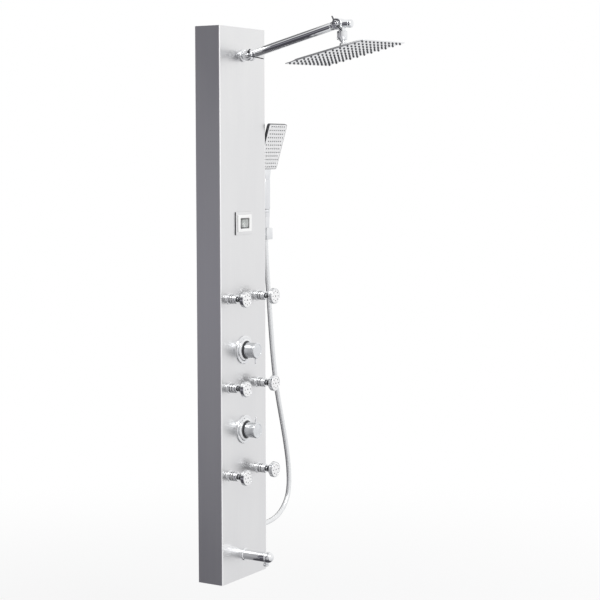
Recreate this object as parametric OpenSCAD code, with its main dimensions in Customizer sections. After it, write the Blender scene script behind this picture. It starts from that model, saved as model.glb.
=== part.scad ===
/* [Panel] */
// Width of the panel
panel_w = 220; // [200:1:260]
// Height of the panel
panel_h = 1500; // [1450:10:1600]
// Depth of the panel from the wall
panel_d = 78; // [74:1:90]
// Thickness of the folded sheet
sheet_t = 1.2; // [1:0.1:1.5]
// Outer radius of the two front bends
bend_r = 2.4; // [2:0.2:4]
// Width of the lips folded in along the back
lip_w = 12; // [8:1:16]

/* [Wall brackets] */
// Distance of the upper bracket's screws below the panel's upper edge
hang_drop = 170; // [160:5:200]
// Height of the lower bracket's screws above the panel's lower edge
low_hang_h = 170; // [160:5:200]
// Width of a wall bracket
bracket_w = 150; // [130:5:170]
// Height of a wall bracket's plate
bracket_h = 34; // [30:1:40]
// Thickness of the bracket and rail steel
bracket_t = 2; // [1.5:0.1:2.5]
// Distance between a bracket's two screw holes
screw_pitch = 110; // [90:5:120]
// Diameter of a wall screw hole
screw_hole_d = 6; // [5:0.5:7]
// Distance from the wall to the front of a bracket's hook
hook_out = 10; // [8:1:12]
// Height of a bracket's hook
hook_h = 12; // [10:1:14]

/* [Overhead arm] */
// Distance of the arm's inner pivot below the panel's upper edge
arm_drop = 74; // [60:1:100]
// Distance from the panel's face to the inner pivot
pivot_out = 22; // [21:1:26]
// Distance between the two pivots
arm_len = 285; // [260:5:320]
// Rise of the arm above level, in degrees
arm_rise = 14.4; // [8:0.2:20]
// Outside diameter of the arm's tube
arm_d = 22; // [20:1:24]
// Wall of the arm's tube
arm_wall = 1.5; // [1:0.1:2]
// Diameter of a pivot's discs
knuckle_d = 30; // [29:0.5:34]
// Thickness of one pivot disc
knuckle_t = 14; // [12:0.5:16]
// Diameter of a pivot pin
pin_d = 8; // [6:0.5:10]
// Length of the lever at the inner pivot
base_lever_l = 58; // [40:1:64]
// Length of the long wing at the outer pivot
end_lever_l = 28; // [22:1:34]

/* [Rain head] */
// Width of the rain head
head_w = 220; // [210:1:240]
// Length of the rain head
head_l = 240; // [230:1:260]
// Thickness of the rain head's face plate
head_t = 2; // [1.5:0.1:3]
// Thickness of the water chamber on its back
chamber_t = 6; // [5:0.5:9]
// Tilt of the rain head, outer edge up, in degrees
head_tilt = 12.5; // [8:0.5:16]
// Lean of the rain head to its left, in degrees
head_roll = 1.4; // [0:0.2:4]
// Nozzles across the rain head
head_cols = 11; // [8:1:11]
// Nozzles along the rain head
head_rows = 11; // [8:1:11]
// Distance between two nozzles across the rain head
head_pitch = 20; // [16:0.5:20]
// Distance between two rows of nozzles along the rain head
head_row_pitch = 21.8; // [18:0.1:22]
// Diameter of the swivel ball
ball_d = 20; // [18:0.5:21]

/* [Display] */
// Height of the display's centre above the panel's lower edge
display_z = 976.5; // [950:1:1000]
// Width of the display's bezel
bezel_w = 80; // [76:1:90]
// Height of the display's bezel
bezel_h = 62; // [58:1:70]
// Thickness of the display's bezel
bezel_t = 3; // [2:0.5:4]
// Width of the raised frame round the window
frame_w = 66; // [62:1:72]
// Height of the raised frame round the window
frame_h = 46; // [42:1:50]
// Width of the window
window_w = 43; // [40:1:50]
// Height of the window
window_h = 28; // [24:1:32]

/* [Knobs] */
// Height of the upper knob, the diverter
diverter_z = 632; // [620:1:640]
// Height of the lower knob, the mixer
mixer_z = 413; // [405:1:420]
// Diameter of a knob's flange
flange_d = 78; // [70:1:82]
// Diameter of a knob
knob_d = 42; // [38:1:46]
// Distance from the panel's face to the front of a knob
knob_out = 45; // [42:1:50]
// Length of the pin lever on a knob
knob_pin_l = 15; // [10:1:20]
// Diameter of a valve cartridge
cartridge_d = 35; // [32:1:36]

/* [Body jets] */
// Height of the lowest pair of jets
jet_z = 295; // [285:1:300]
// Height from one pair of jets to the next
jet_pitch = 240.5; // [236:0.5:244]
// Distance between the two jets of a pair
jet_span = 140; // [134:1:146]
// Diameter of a jet's socket
jet_socket_d = 25; // [24:0.5:28]
// Diameter of a jet's ball
jet_ball_d = 17; // [15:0.5:17.5]
// Diameter of a jet's head
jet_head_d = 43; // [38:1:48]
// Distance from the panel's face to a jet ball's centre
jet_ball_out = 21; // [18:1:24]
// Distance from a jet ball's centre to the front of its head
jet_head_out = 37; // [34:1:40]

/* [Tub spout] */
// Height of the spout above the panel's lower edge
spout_z = 65; // [60:1:80]
// Distance from the panel's face to the centre of the spout's round end
spout_out = 77; // [70:1:90]
// Diameter of the spout's tube
spout_d = 28; // [24:1:29]
// Diameter of the spout's round end
spout_end_d = 30; // [30:1:34]
// Distance the outlet reaches below the spout's axis
spout_drop = 24; // [23:1:30]

/* [Hand shower] */
// Distance from the panel's side to the hand shower's axis
hand_side = 52; // [50:1:70]
// Distance from the wall to the hand shower's axis
hand_out = 45; // [42:1:48]
// Height of the holder's centre above the panel's lower edge
holder_z = 941; // [930:1:950]
// Width of the holder's block
holder_w = 30; // [29:1:34]
// Height of the holder's block
holder_h = 32; // [28:1:38]
// Height of the lower edge of the spray face
spray_z = 1120.5; // [1112:0.5:1128]
// Width of the spray face
spray_w = 92; // [86:1:98]
// Length of the spray face
spray_l = 130.5; // [124:0.5:136]
// Thickness of the spray paddle
spray_t = 10; // [8:0.5:12]
// Forward lean of the spray face, in degrees
spray_lean = 16.7; // [10:0.1:20]
// Width of the hand shower's handle
grip_w = 28; // [26:1:32]
// Depth of the hand shower's handle
grip_t = 20; // [18:1:24]
// Diameter of the hose
hose_d = 14; // [13:1:15]
// Distance the hose's bow reaches out sideways
hose_bow = 144; // [120:1:170]
// Height of the hose outlet above the panel's lower edge
outlet_z = 117; // [110:1:125]

/* [Hidden] */
$fn = 48;

// Overrun of every cut
over = 0.5;
// Clearance between pieces that move past each other
gap = 0.3;
// Radial clearance of a pin in its bore
run = 0.05;
// Diameter of a half inch pipe thread
thread_d = 20.6;
// Size of a small chamfer
chamfer = 1;
// Distance from the panel's centre line to the hand shower's axis
hand_x = panel_w / 2 + hand_side;
// Height of the upper bracket's screws above the panel's lower edge
hang_h = panel_h - hang_drop;
// Height of the arm's inner pivot above the panel's lower edge
arm_z = panel_h - arm_drop;
// Height of the lower edge of the panel in the row's frame
base_z = -hang_h;
// Inner face of the panel's front sheet
inner_y = -panel_d + sheet_t;

// Places on the panel

// Local z points out of the front, local y up, x across from the centre line
module at_front(x, z) {
    translate([x, -panel_d, base_z + z]) rotate([90, 0, 0]) children();
}

// Local z points out of the right side, local y up, x towards the wall
module at_side(out, z) {
    translate([panel_w / 2, -out, base_z + z]) rotate([90, 0, 90]) children();
}

// Round turned piece from an outline of [radius, length] points
module turned(outline) {
    rotate_extrude() polygon(outline);
}

// Cylinder with a chamfer on its far end
module chamfered(d, h, c = chamfer) {
    turned([[0, 0], [d / 2, 0], [d / 2, h - c], [d / 2 - c, h], [0, h]]);
}

// Ring with chamfers on its outer edges
module ring(d, bore, h, c = chamfer) {
    turned([
        [bore / 2, 0], [d / 2 - c, 0], [d / 2, c], [d / 2, h - c], [d / 2 - c, h], [bore / 2, h]
    ]);
}

// Hexagon nut on a bore
module hex_nut(across, bore, h) {
    difference() {
        cylinder(d = across / cos(30), h = h, $fn = 6);
        translate([0, 0, -over]) cylinder(d = bore, h = h + 2 * over);
    }
}

// Rectangle with round corners, centred
module round_rect(w, h, r) {
    square([w - 2 * r, h], center = true);
    square([w, h - 2 * r], center = true);
    for (i = [-1, 1], j = [-1, 1])
        translate([i * (w / 2 - r), j * (h / 2 - r)]) circle(r);
}

// Box with its corners rounded about z, standing on z = 0
module round_box(w, h, t, r) {
    linear_extrude(t) round_rect(w, h, r);
}

// Pipe through a list of points, with round corners at the points between
module pipe(points, d) {
    for (i = [0 : len(points) - 2]) rod(points[i], points[i + 1], d);
    for (i = [1 : 1 : len(points) - 2]) translate(points[i]) sphere(d = d);
}

// Straight rod from a to b
module rod(a, b, d) {
    v = b - a;
    length = norm(v);
    translate(a) rotate([0, acos(v.z / length), atan2(v.y, v.x)]) cylinder(d = d, h = length);
}

// Panel

// Diameter of the holes for the arm, the spout and the hose outlet
tail_hole_d = thread_d + 2 * gap;
// Diameter of the holes for the valve necks
valve_neck_d = 40;
valve_hole_d = valve_neck_d + 2 * gap;
// Outside diameter of a jet's threaded tail and the hole it goes through
jet_tail_d = 18;
jet_hole_d = jet_tail_d + 2 * gap;
// Size of the display's housing and the cut-out it goes through
housing_w = 62;
housing_h = 40;
housing_d = 18;
// Screws that hold the holder and the distance between them
holder_screw_d = 4;
holder_screw_pitch = 22;

module front_panel() {
    inner_r = bend_r - sheet_t;
    color("silver") difference() {
        translate([0, -panel_d / 2, base_z]) linear_extrude(panel_h) {
            translate([0, bend_r / 2]) square([panel_w, panel_d - bend_r], center = true);
            translate([0, -panel_d / 2 + bend_r / 2]) square([panel_w - 2 * bend_r, bend_r], center = true);
            for (i = [-1, 1]) translate([i * (panel_w / 2 - bend_r), -panel_d / 2 + bend_r]) circle(bend_r);
        }
        // hollow behind the front, between the end caps
        translate([0, -panel_d / 2, base_z + sheet_t]) linear_extrude(panel_h - 2 * sheet_t) {
            translate([0, bend_r / 2 - sheet_t / 2])
                square([panel_w - 2 * sheet_t, panel_d - bend_r - sheet_t], center = true);
            translate([0, -panel_d / 2 + bend_r / 2 + sheet_t / 2])
                square([panel_w - 2 * bend_r, bend_r - sheet_t], center = true);
            for (i = [-1, 1])
                translate([i * (panel_w / 2 - bend_r), -panel_d / 2 + bend_r]) circle(inner_r);
        }
        // open back between the folded lips
        translate([0, 0, base_z + panel_h / 2])
            cube([panel_w - 2 * lip_w, 2 * (sheet_t + over), panel_h - 2 * lip_w], center = true);
        // holes in the front
        at_front(0, arm_z) through_hole(tail_hole_d);
        at_front(0, spout_z) through_hole(tail_hole_d);
        at_front(0, diverter_z) through_hole(valve_hole_d);
        at_front(0, mixer_z) through_hole(valve_hole_d);
        for (n = [1 : 2 * jet_rows]) at_jet(n) through_hole(jet_hole_d);
        at_front(0, display_z) translate([0, 0, -sheet_t - over])
            round_box(housing_w + 2 * gap, housing_h + 2 * gap, sheet_t + 2 * over, chamfer);
        // holes in the right side
        at_side(hand_out, outlet_z) through_hole(tail_hole_d);
        for (i = [-1, 1])
            at_side(hand_out, holder_z + i * holder_screw_pitch / 2) through_hole(holder_screw_d);
    }
}

module through_hole(d) {
    translate([0, 0, -sheet_t - over]) cylinder(d = d, h = sheet_t + 2 * over);
}

// Wall brackets and rails

// Clearance between a rail and the bracket it hangs on
rail_gap = 0.5;
// Length of the hanger rails, wall to wall inside the panel
rail_w = panel_w - 2 * sheet_t;
// Heights of the two brackets' screws
bracket_zs = [hang_h, low_hang_h];
// Front of the bracket's hook and back of the rail's web
rail_y = -hook_out - rail_gap;
hook_top = bracket_h / 2 + hook_h;

module at_bracket(z) {
    translate([0, 0, base_z + z]) rotate([90, 0, 90]) children();
}

// Outline of a bracket: x away from the wall is negative, y up
module bracket_outline() {
    translate([-bracket_t, -bracket_h / 2]) square([bracket_t, bracket_h]);
    translate([-hook_out, bracket_h / 2 - bracket_t]) square([hook_out, bracket_t]);
    translate([-hook_out, bracket_h / 2 - bracket_t]) square([bracket_t, hook_h + bracket_t]);
}

module wall_brackets() {
    color("darkgray") for (z = bracket_zs) difference() {
        at_bracket(z) linear_extrude(bracket_w, center = true) bracket_outline();
        for (i = [-1, 1]) translate([i * screw_pitch / 2, over, base_z + z]) rotate([90, 0, 0])
            cylinder(d = screw_hole_d, h = bracket_t + 2 * over);
    }
}

// A rail's web stands in front of the hook and its folded top hangs on it
module hanger_rails() {
    color("darkgray") for (z = bracket_zs) at_bracket(z) linear_extrude(rail_w, center = true) {
        translate([rail_y - bracket_t, 0]) square([bracket_t, hook_top + bracket_t]);
        translate([rail_y, hook_top]) square([hook_out - bracket_t, bracket_t]);
        translate([rail_y + hook_out - 2 * bracket_t, hook_top - hook_h / 2]) square([bracket_t, hook_h / 2]);
    }
}

// Overhead arm

// Thickness and diameter of the ring where the arm leaves the panel
arm_flange_t = 5;
arm_flange_d = 34;
// Diameter of the stems on the pivots
stem_d = 24;
// Length of the stem beyond a disc and of its spigot in the tube
yoke_l = 24;
spigot_l = 12;
// Radius cleared round a pivot for the disc beside
clear_r = knuckle_d / 2 + gap;
// Depth of the threaded tails inside the panel
tail_l = 18;
// Lever hub
hub_d = 17;
hub_t = 8;
lever_t = 3;
// Angles of each lever's wings above level, in degrees
base_lever_angle = -12;
base_short_angle = 48;
end_lever_angle = -43;
end_short_angle = 117;
// Short wings, as shares of the long ones, and a wing's width at its tip, as a share of its root
base_short_share = 0.36;
end_short_share = 0.8;
wing_tip_share = 0.62;

module at_base_pivot() {
    translate([0, -panel_d - pivot_out, base_z + arm_z]) children();
}

// The arm's own frame: -y runs along it, away from the panel
module at_arm() {
    at_base_pivot() rotate([-arm_rise, 0, 0]) children();
}

module at_end_pivot() {
    at_arm() translate([0, -arm_len, 0]) rotate([arm_rise, 0, 0]) children();
}

// Disc of a pivot on one side of the middle plane
module pivot_disc(side) {
    rotate([0, side * 90, 0]) translate([0, 0, gap / 2]) chamfered(knuckle_d, knuckle_t);
}

// Room for the disc on one side of the middle plane
module disc_room(side) {
    rotate([0, side * 90, 0]) translate([0, 0, -gap / 2]) cylinder(r = clear_r, h = knuckle_t + gap + stem_d);
}

// Pin from the far disc through the near disc and the lever
module pivot_pin() {
    pin_l = 2 * knuckle_t + gap + hub_t + gap + chamfer;
    translate([knuckle_t, 0, 0]) rotate([0, -90, 0]) cylinder(d = pin_d, h = pin_l);
}

module arm_flange() {
    color("silver") at_front(0, arm_z) ring(arm_flange_d, thread_d, arm_flange_t);
}

module base_knuckle() {
    color("silver") at_base_pivot() {
        pivot_pin();
        difference() {
            union() {
                pivot_disc(1);
                rotate([-90, 0, 0]) cylinder(d = stem_d, h = pivot_out - arm_flange_t);
                rotate([-90, 0, 0]) cylinder(d = thread_d - 2 * run, h = pivot_out + tail_l);
            }
            disc_room(-1);
        }
    }
}

module arm_yokes() {
    color("silver") at_arm() {
        yoke();
        translate([0, -arm_len, 0]) rotate([180, 0, 0]) yoke();
    }
}

// Near disc, stem along -y and spigot in the tube
module yoke() {
    difference() {
        union() {
            pivot_disc(-1);
            rotate([90, 0, 0]) cylinder(d = stem_d, h = yoke_l);
            rotate([90, 0, 0]) cylinder(d = arm_d - 2 * arm_wall - 2 * run, h = yoke_l + spigot_l);
        }
        disc_room(1);
        translate([over, 0, 0]) rotate([0, -90, 0]) cylinder(d = pin_d + 2 * run, h = knuckle_t + stem_d);
    }
}

module arm_tube() {
    tube_l = arm_len - 2 * yoke_l;
    color("lightgray") at_arm() translate([0, -yoke_l, 0]) rotate([90, 0, 0]) difference() {
        cylinder(d = arm_d, h = tube_l);
        translate([0, 0, -over]) cylinder(d = arm_d - 2 * arm_wall, h = tube_l + 2 * over);
    }
}

// Thin wing out of a hub, in the plane of the hub's axis
module wing(length) {
    tip_w = hub_t * wing_tip_share;
    translate([-lever_t / 2, 0, 0]) rotate([90, 0, 90]) linear_extrude(lever_t) {
        polygon([
            [hub_d / 4, 0], [hub_d / 4, hub_t],
            [length - tip_w / 2, hub_t / 2 + tip_w / 2], [length - tip_w / 2, hub_t / 2 - tip_w / 2]
        ]);
        translate([length - tip_w / 2, hub_t / 2]) circle(d = tip_w);
    }
}

// Clamping lever on a pivot's pin: a hub and two wings, each at an angle above level away from the panel
module clamp_lever(length, angle, short, short_angle) {
    translate([-knuckle_t - gap / 2 - gap, 0, 0]) rotate([0, -90, 0]) difference() {
        union() {
            chamfered(hub_d, hub_t);
            rotate([0, 0, angle]) mirror([0, 1, 0]) wing(length);
            rotate([0, 0, short_angle]) mirror([0, 1, 0]) wing(short);
        }
        translate([0, 0, -over]) cylinder(d = pin_d + 2 * run, h = hub_t + 2 * over);
    }
}

module base_lever() {
    color("silver") at_base_pivot()
        clamp_lever(base_lever_l, base_lever_angle, base_lever_l * base_short_share, base_short_angle);
}

module end_lever() {
    color("silver") at_end_pivot()
        clamp_lever(end_lever_l, end_lever_angle, end_lever_l * end_short_share, end_short_angle);
}

// End elbow, nut and ball

// Distance from the outer pivot to the drop's axis and to the end of the elbow's barrel
drop_out = 10;
barrel_l = 39;
barrel_d = 21;
// Depth of the ball's centre below the outer pivot
ball_drop = 36.5;
neck_d = 17;
nut_d = 27;
nut_h = 23;
// Depth of the nut's lower edge below the ball's centre
lip_drop = 4.5;
// Ball stem and the distance from the ball's centre to the collar's ends
ball_stem_d = 11;
collar_top = 12;
collar_h = 20.5;
collar_d = 27;
collar_top_d = 18;
collar_flare_share = 0.6;
ball_r = ball_d / 2;
socket_r = ball_r + gap;

module at_ball() {
    at_end_pivot() translate([0, -drop_out, -ball_drop]) children();
}

// The head's own frame: -z runs down the ball's stem
module at_head() {
    at_ball() rotate([-head_tilt, -head_roll, 0]) children();
}

module end_elbow() {
    color("silver") at_end_pivot() {
        pivot_pin();
        difference() {
            union() {
                pivot_disc(1);
                rotate([90, 0, 0]) chamfered(barrel_d, barrel_l);
                translate([0, -drop_out, socket_r - ball_drop]) cylinder(d = neck_d, h = ball_drop - socket_r);
            }
            disc_room(-1);
        }
    }
}

module swivel_nut() {
    color("silver") at_ball() difference() {
        translate([0, 0, -lip_drop]) ring(nut_d, 0, nut_h);
        sphere(r = socket_r);
        cylinder(d = neck_d + 2 * run, h = nut_h);
    }
}

module swivel_ball() {
    stem_l = collar_top + collar_h / 2;
    color("gainsboro") at_head() {
        sphere(r = ball_r);
        translate([0, 0, -stem_l]) cylinder(d = ball_stem_d, h = stem_l);
    }
}

module head_collar() {
    color("silver") at_head() translate([0, 0, -collar_top]) difference() {
        turned([
            [0, 0], [collar_top_d / 2, 0], [collar_d / 2, -collar_h * collar_flare_share],
            [collar_d / 2, -collar_h], [0, -collar_h]
        ]);
        translate([0, 0, -collar_h / 2 - gap]) cylinder(d = ball_stem_d + 2 * run, h = collar_h);
    }
}

// Rain head

// Distance from the ball's centre to the back of the face plate
face_drop = collar_top + collar_h + chamber_t;
head_r = 5;
chamber_inset = 10;
nozzle_d = 6;
nozzle_h = 3;
nozzle_tip_d = 4;

module rain_top_plate() {
    color("lightgray") at_head() translate([0, 0, -face_drop]) {
        round_box(head_w - 2 * chamber_inset, head_l - 2 * chamber_inset, chamber_t / 2, head_r);
        translate([0, 0, chamber_t / 2])
            round_box(head_w - 3 * chamber_inset, head_l - 3 * chamber_inset, chamber_t / 2, head_r);
    }
}

module rain_face_plate() {
    color("silver") at_head() translate([0, 0, -face_drop - head_t]) round_box(head_w, head_l, head_t, head_r);
}

module rain_nozzles() {
    color("dimgray") at_head() for (i = [0 : head_cols - 1], j = [0 : head_rows - 1]) {
        x = (i - (head_cols - 1) / 2) * head_pitch;
        y = (j - (head_rows - 1) / 2) * head_row_pitch;
        translate([x, y, -face_drop - head_t - nozzle_h])
            cylinder(d1 = nozzle_tip_d, d2 = nozzle_d, h = nozzle_h);
    }
}

// Display

// Height of the raised frame over the bezel and depth of the window's recess
frame_t = 3;
lens_t = 1.5;
screen_t = 2.5;
screen_margin = 3;
housing_wall = 2;
battery_d = 24;
battery_t = 5;

module display_bezel() {
    stack = bezel_t + frame_t;
    color("whitesmoke") at_front(0, display_z) difference() {
        union() {
            round_box(bezel_w, bezel_h, bezel_t, chamfer);
            round_box(frame_w, frame_h, stack, chamfer);
        }
        translate([0, 0, -over]) round_box(window_w, window_h, stack + 2 * over, chamfer);
    }
}

module display_lens() {
    color("gainsboro") at_front(0, display_z) translate([0, 0, bezel_t])
        round_box(window_w - gap, window_h - gap, lens_t, chamfer);
}

module display_screen() {
    color("darkseagreen") at_front(0, display_z) translate([0, 0, bezel_t - screen_t])
        round_box(window_w - screen_margin, window_h - screen_margin, screen_t, chamfer);
}

module display_housing() {
    color("white") at_front(0, display_z) difference() {
        translate([0, 0, -housing_d]) round_box(housing_w, housing_h, housing_d, chamfer);
        translate([0, 0, -housing_d + housing_wall])
            round_box(housing_w - 2 * housing_wall, housing_h - 2 * housing_wall, housing_d, chamfer);
    }
}

module display_battery() {
    color("silver") at_front(0, display_z) translate([0, 0, housing_wall - housing_d])
        cylinder(d = battery_d, h = battery_t);
}

// Cable from the housing's lower wall to a probe sunk in the diverter valve
cable_d = 3;
cable_in = 12;
cable_x = 22;
cable_bend = 30;
probe_d = 6;
probe_l = 24;
probe_sink = 8;

module probe_cable() {
    y = -panel_d + cable_in;
    top = base_z + display_z - housing_h / 2;
    tip = base_z + diverter_z + valve_d / 2 - probe_sink;
    bend = tip + probe_l + cable_bend;
    color("dimgray") {
        pipe([
            [cable_x, y, top], [cable_x, y, bend], [cable_x, pipe_y, bend], [cable_x, pipe_y, tip + probe_l]
        ], cable_d);
        translate([cable_x, pipe_y, tip]) cylinder(d = probe_d, h = probe_l);
    }
}

// Valves and knobs

// Distance from the panel's face back to a valve's centre, and the valve's size
valve_in = 40;
pipe_y = -panel_d + valve_in;
valve_d = 38;
valve_l = 120;
// Bosses on a valve's barrel where pipes and nipples meet it
boss_d = 24;
boss_h = 5;
boss_l = valve_d / 2 + boss_h;
flange_t = 4;
// Sleeve on the flange, behind the knob, and how far a valve's neck stands in the flange
sleeve_d = 40;
sleeve_t = 8;
valve_neck_out = flange_t / 2;
spindle_d = 9;
// Depth of a spindle in its cartridge
spindle_sink = 10;
// Distance from the panel's face to the back of a knob and to a cartridge's front
knob_back = flange_t + sleeve_t + gap;
cartridge_out = 6;
knob_cap_t = 3;
knob_rim_d = knob_d + 2;
knob_pin_d = 4.6;
valve_zs = [diverter_z, mixer_z];

module knob_flanges() {
    color("silver") for (z = valve_zs) at_front(0, z) difference() {
        union() {
            ring(flange_d, 0, flange_t);
            chamfered(sleeve_d, flange_t + sleeve_t);
        }
        translate([0, 0, -over]) cylinder(d = valve_neck_d, h = valve_neck_out + gap + over);
        cylinder(d = cartridge_d + 2 * gap, h = knob_back);
    }
}

// Knob with its pin lever; turn is where the pin points, in degrees from down
module knob(z, turn) {
    body_h = knob_out - knob_back;
    color("silver") at_front(0, z) difference() {
        union() {
            translate([0, 0, knob_back]) chamfered(knob_d, body_h - knob_cap_t + chamfer);
            translate([0, 0, knob_out - knob_cap_t]) ring(knob_rim_d, 0, knob_cap_t);
            translate([0, 0, knob_out - knob_cap_t - knob_pin_d]) rotate([90, 0, turn])
                chamfered(knob_pin_d, knob_d / 2 + knob_pin_l);
        }
        translate([0, 0, knob_back - over]) cylinder(d = spindle_d, h = body_h / 2 + over);
    }
}

module diverter_knob() {
    knob(diverter_z, 0);
}

module mixer_knob() {
    knob(mixer_z, 180);
}

module spindle(z) {
    start = cartridge_out - spindle_sink + gap;
    color("gold") at_front(0, z) translate([0, 0, start])
        cylinder(d = spindle_d, h = knob_back + (knob_out - knob_back) / 2 - start);
}

module diverter_spindle() {
    spindle(diverter_z);
}

module mixer_spindle() {
    spindle(mixer_z);
}

// Brass valve: a barrel across the panel and a neck with its cartridge through the front
module valve(z) {
    difference() {
        translate([0, pipe_y, base_z + z]) {
            rotate([0, 90, 0]) translate([0, 0, -valve_l / 2]) cylinder(d = valve_d, h = valve_l);
            rotate([90, 0, 0]) cylinder(d = valve_neck_d - 2 * run, h = valve_in + valve_neck_out);
            rotate([90, 0, 0]) cylinder(d = cartridge_d, h = valve_in + cartridge_out);
        }
        at_front(0, z) translate([0, 0, cartridge_out - spindle_sink])
            cylinder(d = spindle_d + 2 * run, h = spindle_sink + over);
    }
}

// Boss on a valve's barrel, pointing up or down
module boss(x, z, up) {
    translate([x, pipe_y, base_z + z]) rotate([up ? 0 : 180, 0, 0]) cylinder(d = boss_d, h = boss_l);
}

module diverter_valve() {
    color("gold") difference() {
        union() {
            valve(diverter_z);
            boss(0, diverter_z, true);
            boss(0, diverter_z, false);
        }
        translate([cable_x, pipe_y, base_z + diverter_z + valve_d / 2 - probe_sink])
            cylinder(d = probe_d + 2 * run, h = probe_sink + over);
    }
}

module mixer_valve() {
    color("gold") {
        valve(mixer_z);
        boss(0, mixer_z, true);
        for (i = [-1, 1]) boss(i * nipple_x, mixer_z, false);
    }
}

// Body jets

jet_rows = 3;
jet_ball_r = jet_ball_d / 2;
jet_room_r = jet_ball_r + gap;
// Distance from the ball's centre to the socket's front face and the opening there
jet_lip_out = 5.2;
jet_mouth_d = 15.5;
jet_neck_d = 11;
jet_back_d = 15;
jet_back_out = 9;
jet_rim_t = 11;
jet_washer_d = 30;
jet_washer_t = 2;
jet_tail_l = 22;
jet_groove_w = 2;
jet_groove_d = jet_socket_d - 2;
jet_backnut_t = 6;
jet_backnut_w = 27;
// Shares of the head's radius and length where the bell bends
jet_bell_share = 0.55;
jet_bend_share = 0.47;
// Share of the head's radius where the spray holes stand
jet_holes_share = 0.6;
jet_spray_d = 2.4;
jet_spray_deep = 1.2;
jet_spray_n = 8;

// Jets 1 and 2 are the lowest pair; odd ones are on the left
module at_jet(n) {
    side = n % 2 == 1 ? -1 : 1;
    row = floor((n - 1) / 2);
    at_front(side * jet_span / 2, jet_z + row * jet_pitch) children();
}

module at_jet_ball(n) {
    at_jet(n) translate([0, 0, jet_ball_out]) children();
}

module jet_sockets() {
    front = jet_ball_out + jet_lip_out;
    color("silver") for (n = [1 : 2 * jet_rows]) at_jet(n) difference() {
        union() {
            ring(jet_washer_d, 0, jet_washer_t, jet_washer_t / 4);
            chamfered(jet_socket_d, front);
            translate([0, 0, -jet_tail_l]) cylinder(d = jet_tail_d, h = jet_tail_l + chamfer);
        }
        for (k = [1 : 2]) translate([0, 0, front * k / 4]) difference() {
            cylinder(d = jet_washer_d, h = jet_groove_w);
            cylinder(d = jet_groove_d, h = jet_groove_w);
        }
        translate([0, 0, jet_ball_out]) sphere(r = jet_room_r);
        translate([0, 0, jet_ball_out]) cylinder(d = jet_mouth_d, h = front);
    }
}

module jet_backnuts() {
    color("gold") for (n = [1 : 2 * jet_rows]) at_jet(n) translate([0, 0, -sheet_t - jet_backnut_t])
        hex_nut(jet_backnut_w, jet_tail_d, jet_backnut_t);
}

module jet_ball(n) {
    color("dimgray") at_jet_ball(n) sphere(r = jet_ball_r);
}

// Bell that flares from a neck cupped on the ball to a face with spray holes
module jet_head(n) {
    head_r = jet_head_d / 2;
    rim_out = jet_head_out - jet_rim_t;
    color("silver") at_jet_ball(n) difference() {
        turned([
            [0, 0], [jet_neck_d / 2, 0], [jet_neck_d / 2, jet_back_out - chamfer],
            [jet_back_d / 2, jet_back_out],
            [jet_back_d / 2 + chamfer, jet_back_out + 2 * chamfer],
            [head_r * jet_bell_share, jet_back_out + jet_bend_share * (rim_out - jet_back_out)],
            [head_r, rim_out], [head_r, jet_head_out - chamfer],
            [head_r - chamfer, jet_head_out], [0, jet_head_out]
        ]);
        sphere(r = jet_ball_r + gap);
        translate([0, 0, jet_head_out - jet_spray_deep]) {
            cylinder(d = 2 * jet_spray_d, h = jet_spray_deep + over);
            for (k = [1 : jet_spray_n]) rotate([0, 0, k * 360 / jet_spray_n])
                translate([head_r * jet_holes_share, 0, 0])
                    cylinder(d = jet_spray_d, h = jet_spray_deep + over);
        }
    }
}

module jet_ball_1() { jet_ball(1); }
module jet_ball_2() { jet_ball(2); }
module jet_ball_3() { jet_ball(3); }
module jet_ball_4() { jet_ball(4); }
module jet_ball_5() { jet_ball(5); }
module jet_ball_6() { jet_ball(6); }
module jet_head_1() { jet_head(1); }
module jet_head_2() { jet_head(2); }
module jet_head_3() { jet_head(3); }
module jet_head_4() { jet_head(4); }
module jet_head_5() { jet_head(5); }
module jet_head_6() { jet_head(6); }

// Tub spout

spout_flange_d = 35;
spout_flange_t = 3;
outlet_back = 8;
aerator_d = 17;
aerator_t = 6;
outlet_neck_d = 13;

module spout() {
    color("silver") at_front(0, spout_z) {
        chamfered(spout_flange_d, spout_flange_t);
        cylinder(d = spout_d, h = spout_out);
        translate([0, 0, spout_out]) sphere(d = spout_end_d);
        translate([0, 0, -tail_l]) cylinder(d = thread_d - 2 * run, h = tail_l + over);
        translate([0, 0, spout_out - outlet_back]) rotate([90, 0, 0])
            cylinder(d = outlet_neck_d, h = spout_drop - aerator_t);
    }
}

module spout_aerator() {
    color("gainsboro") at_front(0, spout_z)
        translate([0, aerator_t - spout_drop, spout_out - outlet_back]) rotate([90, 0, 0]) difference() {
            chamfered(aerator_d, aerator_t);
            translate([0, 0, chamfer]) cylinder(d = outlet_neck_d, h = aerator_t);
        }
}

// Backnuts on the arm, the spout and the hose outlet
backnut_w = 27;
backnut_t = 7;

module backnuts() {
    color("gold") {
        at_front(0, arm_z) translate([0, 0, -sheet_t - backnut_t]) hex_nut(backnut_w, thread_d, backnut_t);
        at_front(0, spout_z) translate([0, 0, -sheet_t - backnut_t]) hex_nut(backnut_w, thread_d, backnut_t);
        at_side(hand_out, outlet_z) translate([0, 0, -sheet_t - backnut_t])
            hex_nut(backnut_w, thread_d, backnut_t);
    }
}

// Holder

// The cone nut's diameters, its length and its place above the holder's centre
cone_top_d = 24;
cone_low_d = 18;
cone_l = 75;
cone_above = 60;
holder_plate = 34;
holder_plate_t = 4;
holder_arm_w = 18;
holder_arm_h = 24;
holder_r = 3;
holder_reach = hand_x - panel_w / 2;
slot_w = hose_d + 2;
cone_slope = (cone_top_d - cone_low_d) / cone_l;

// Diameter of the cone at a height above the holder's centre
function cone_at(z) = cone_top_d - (cone_above - z) * cone_slope;

module at_holder() {
    translate([hand_x, -hand_out, base_z + holder_z]) children();
}

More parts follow.
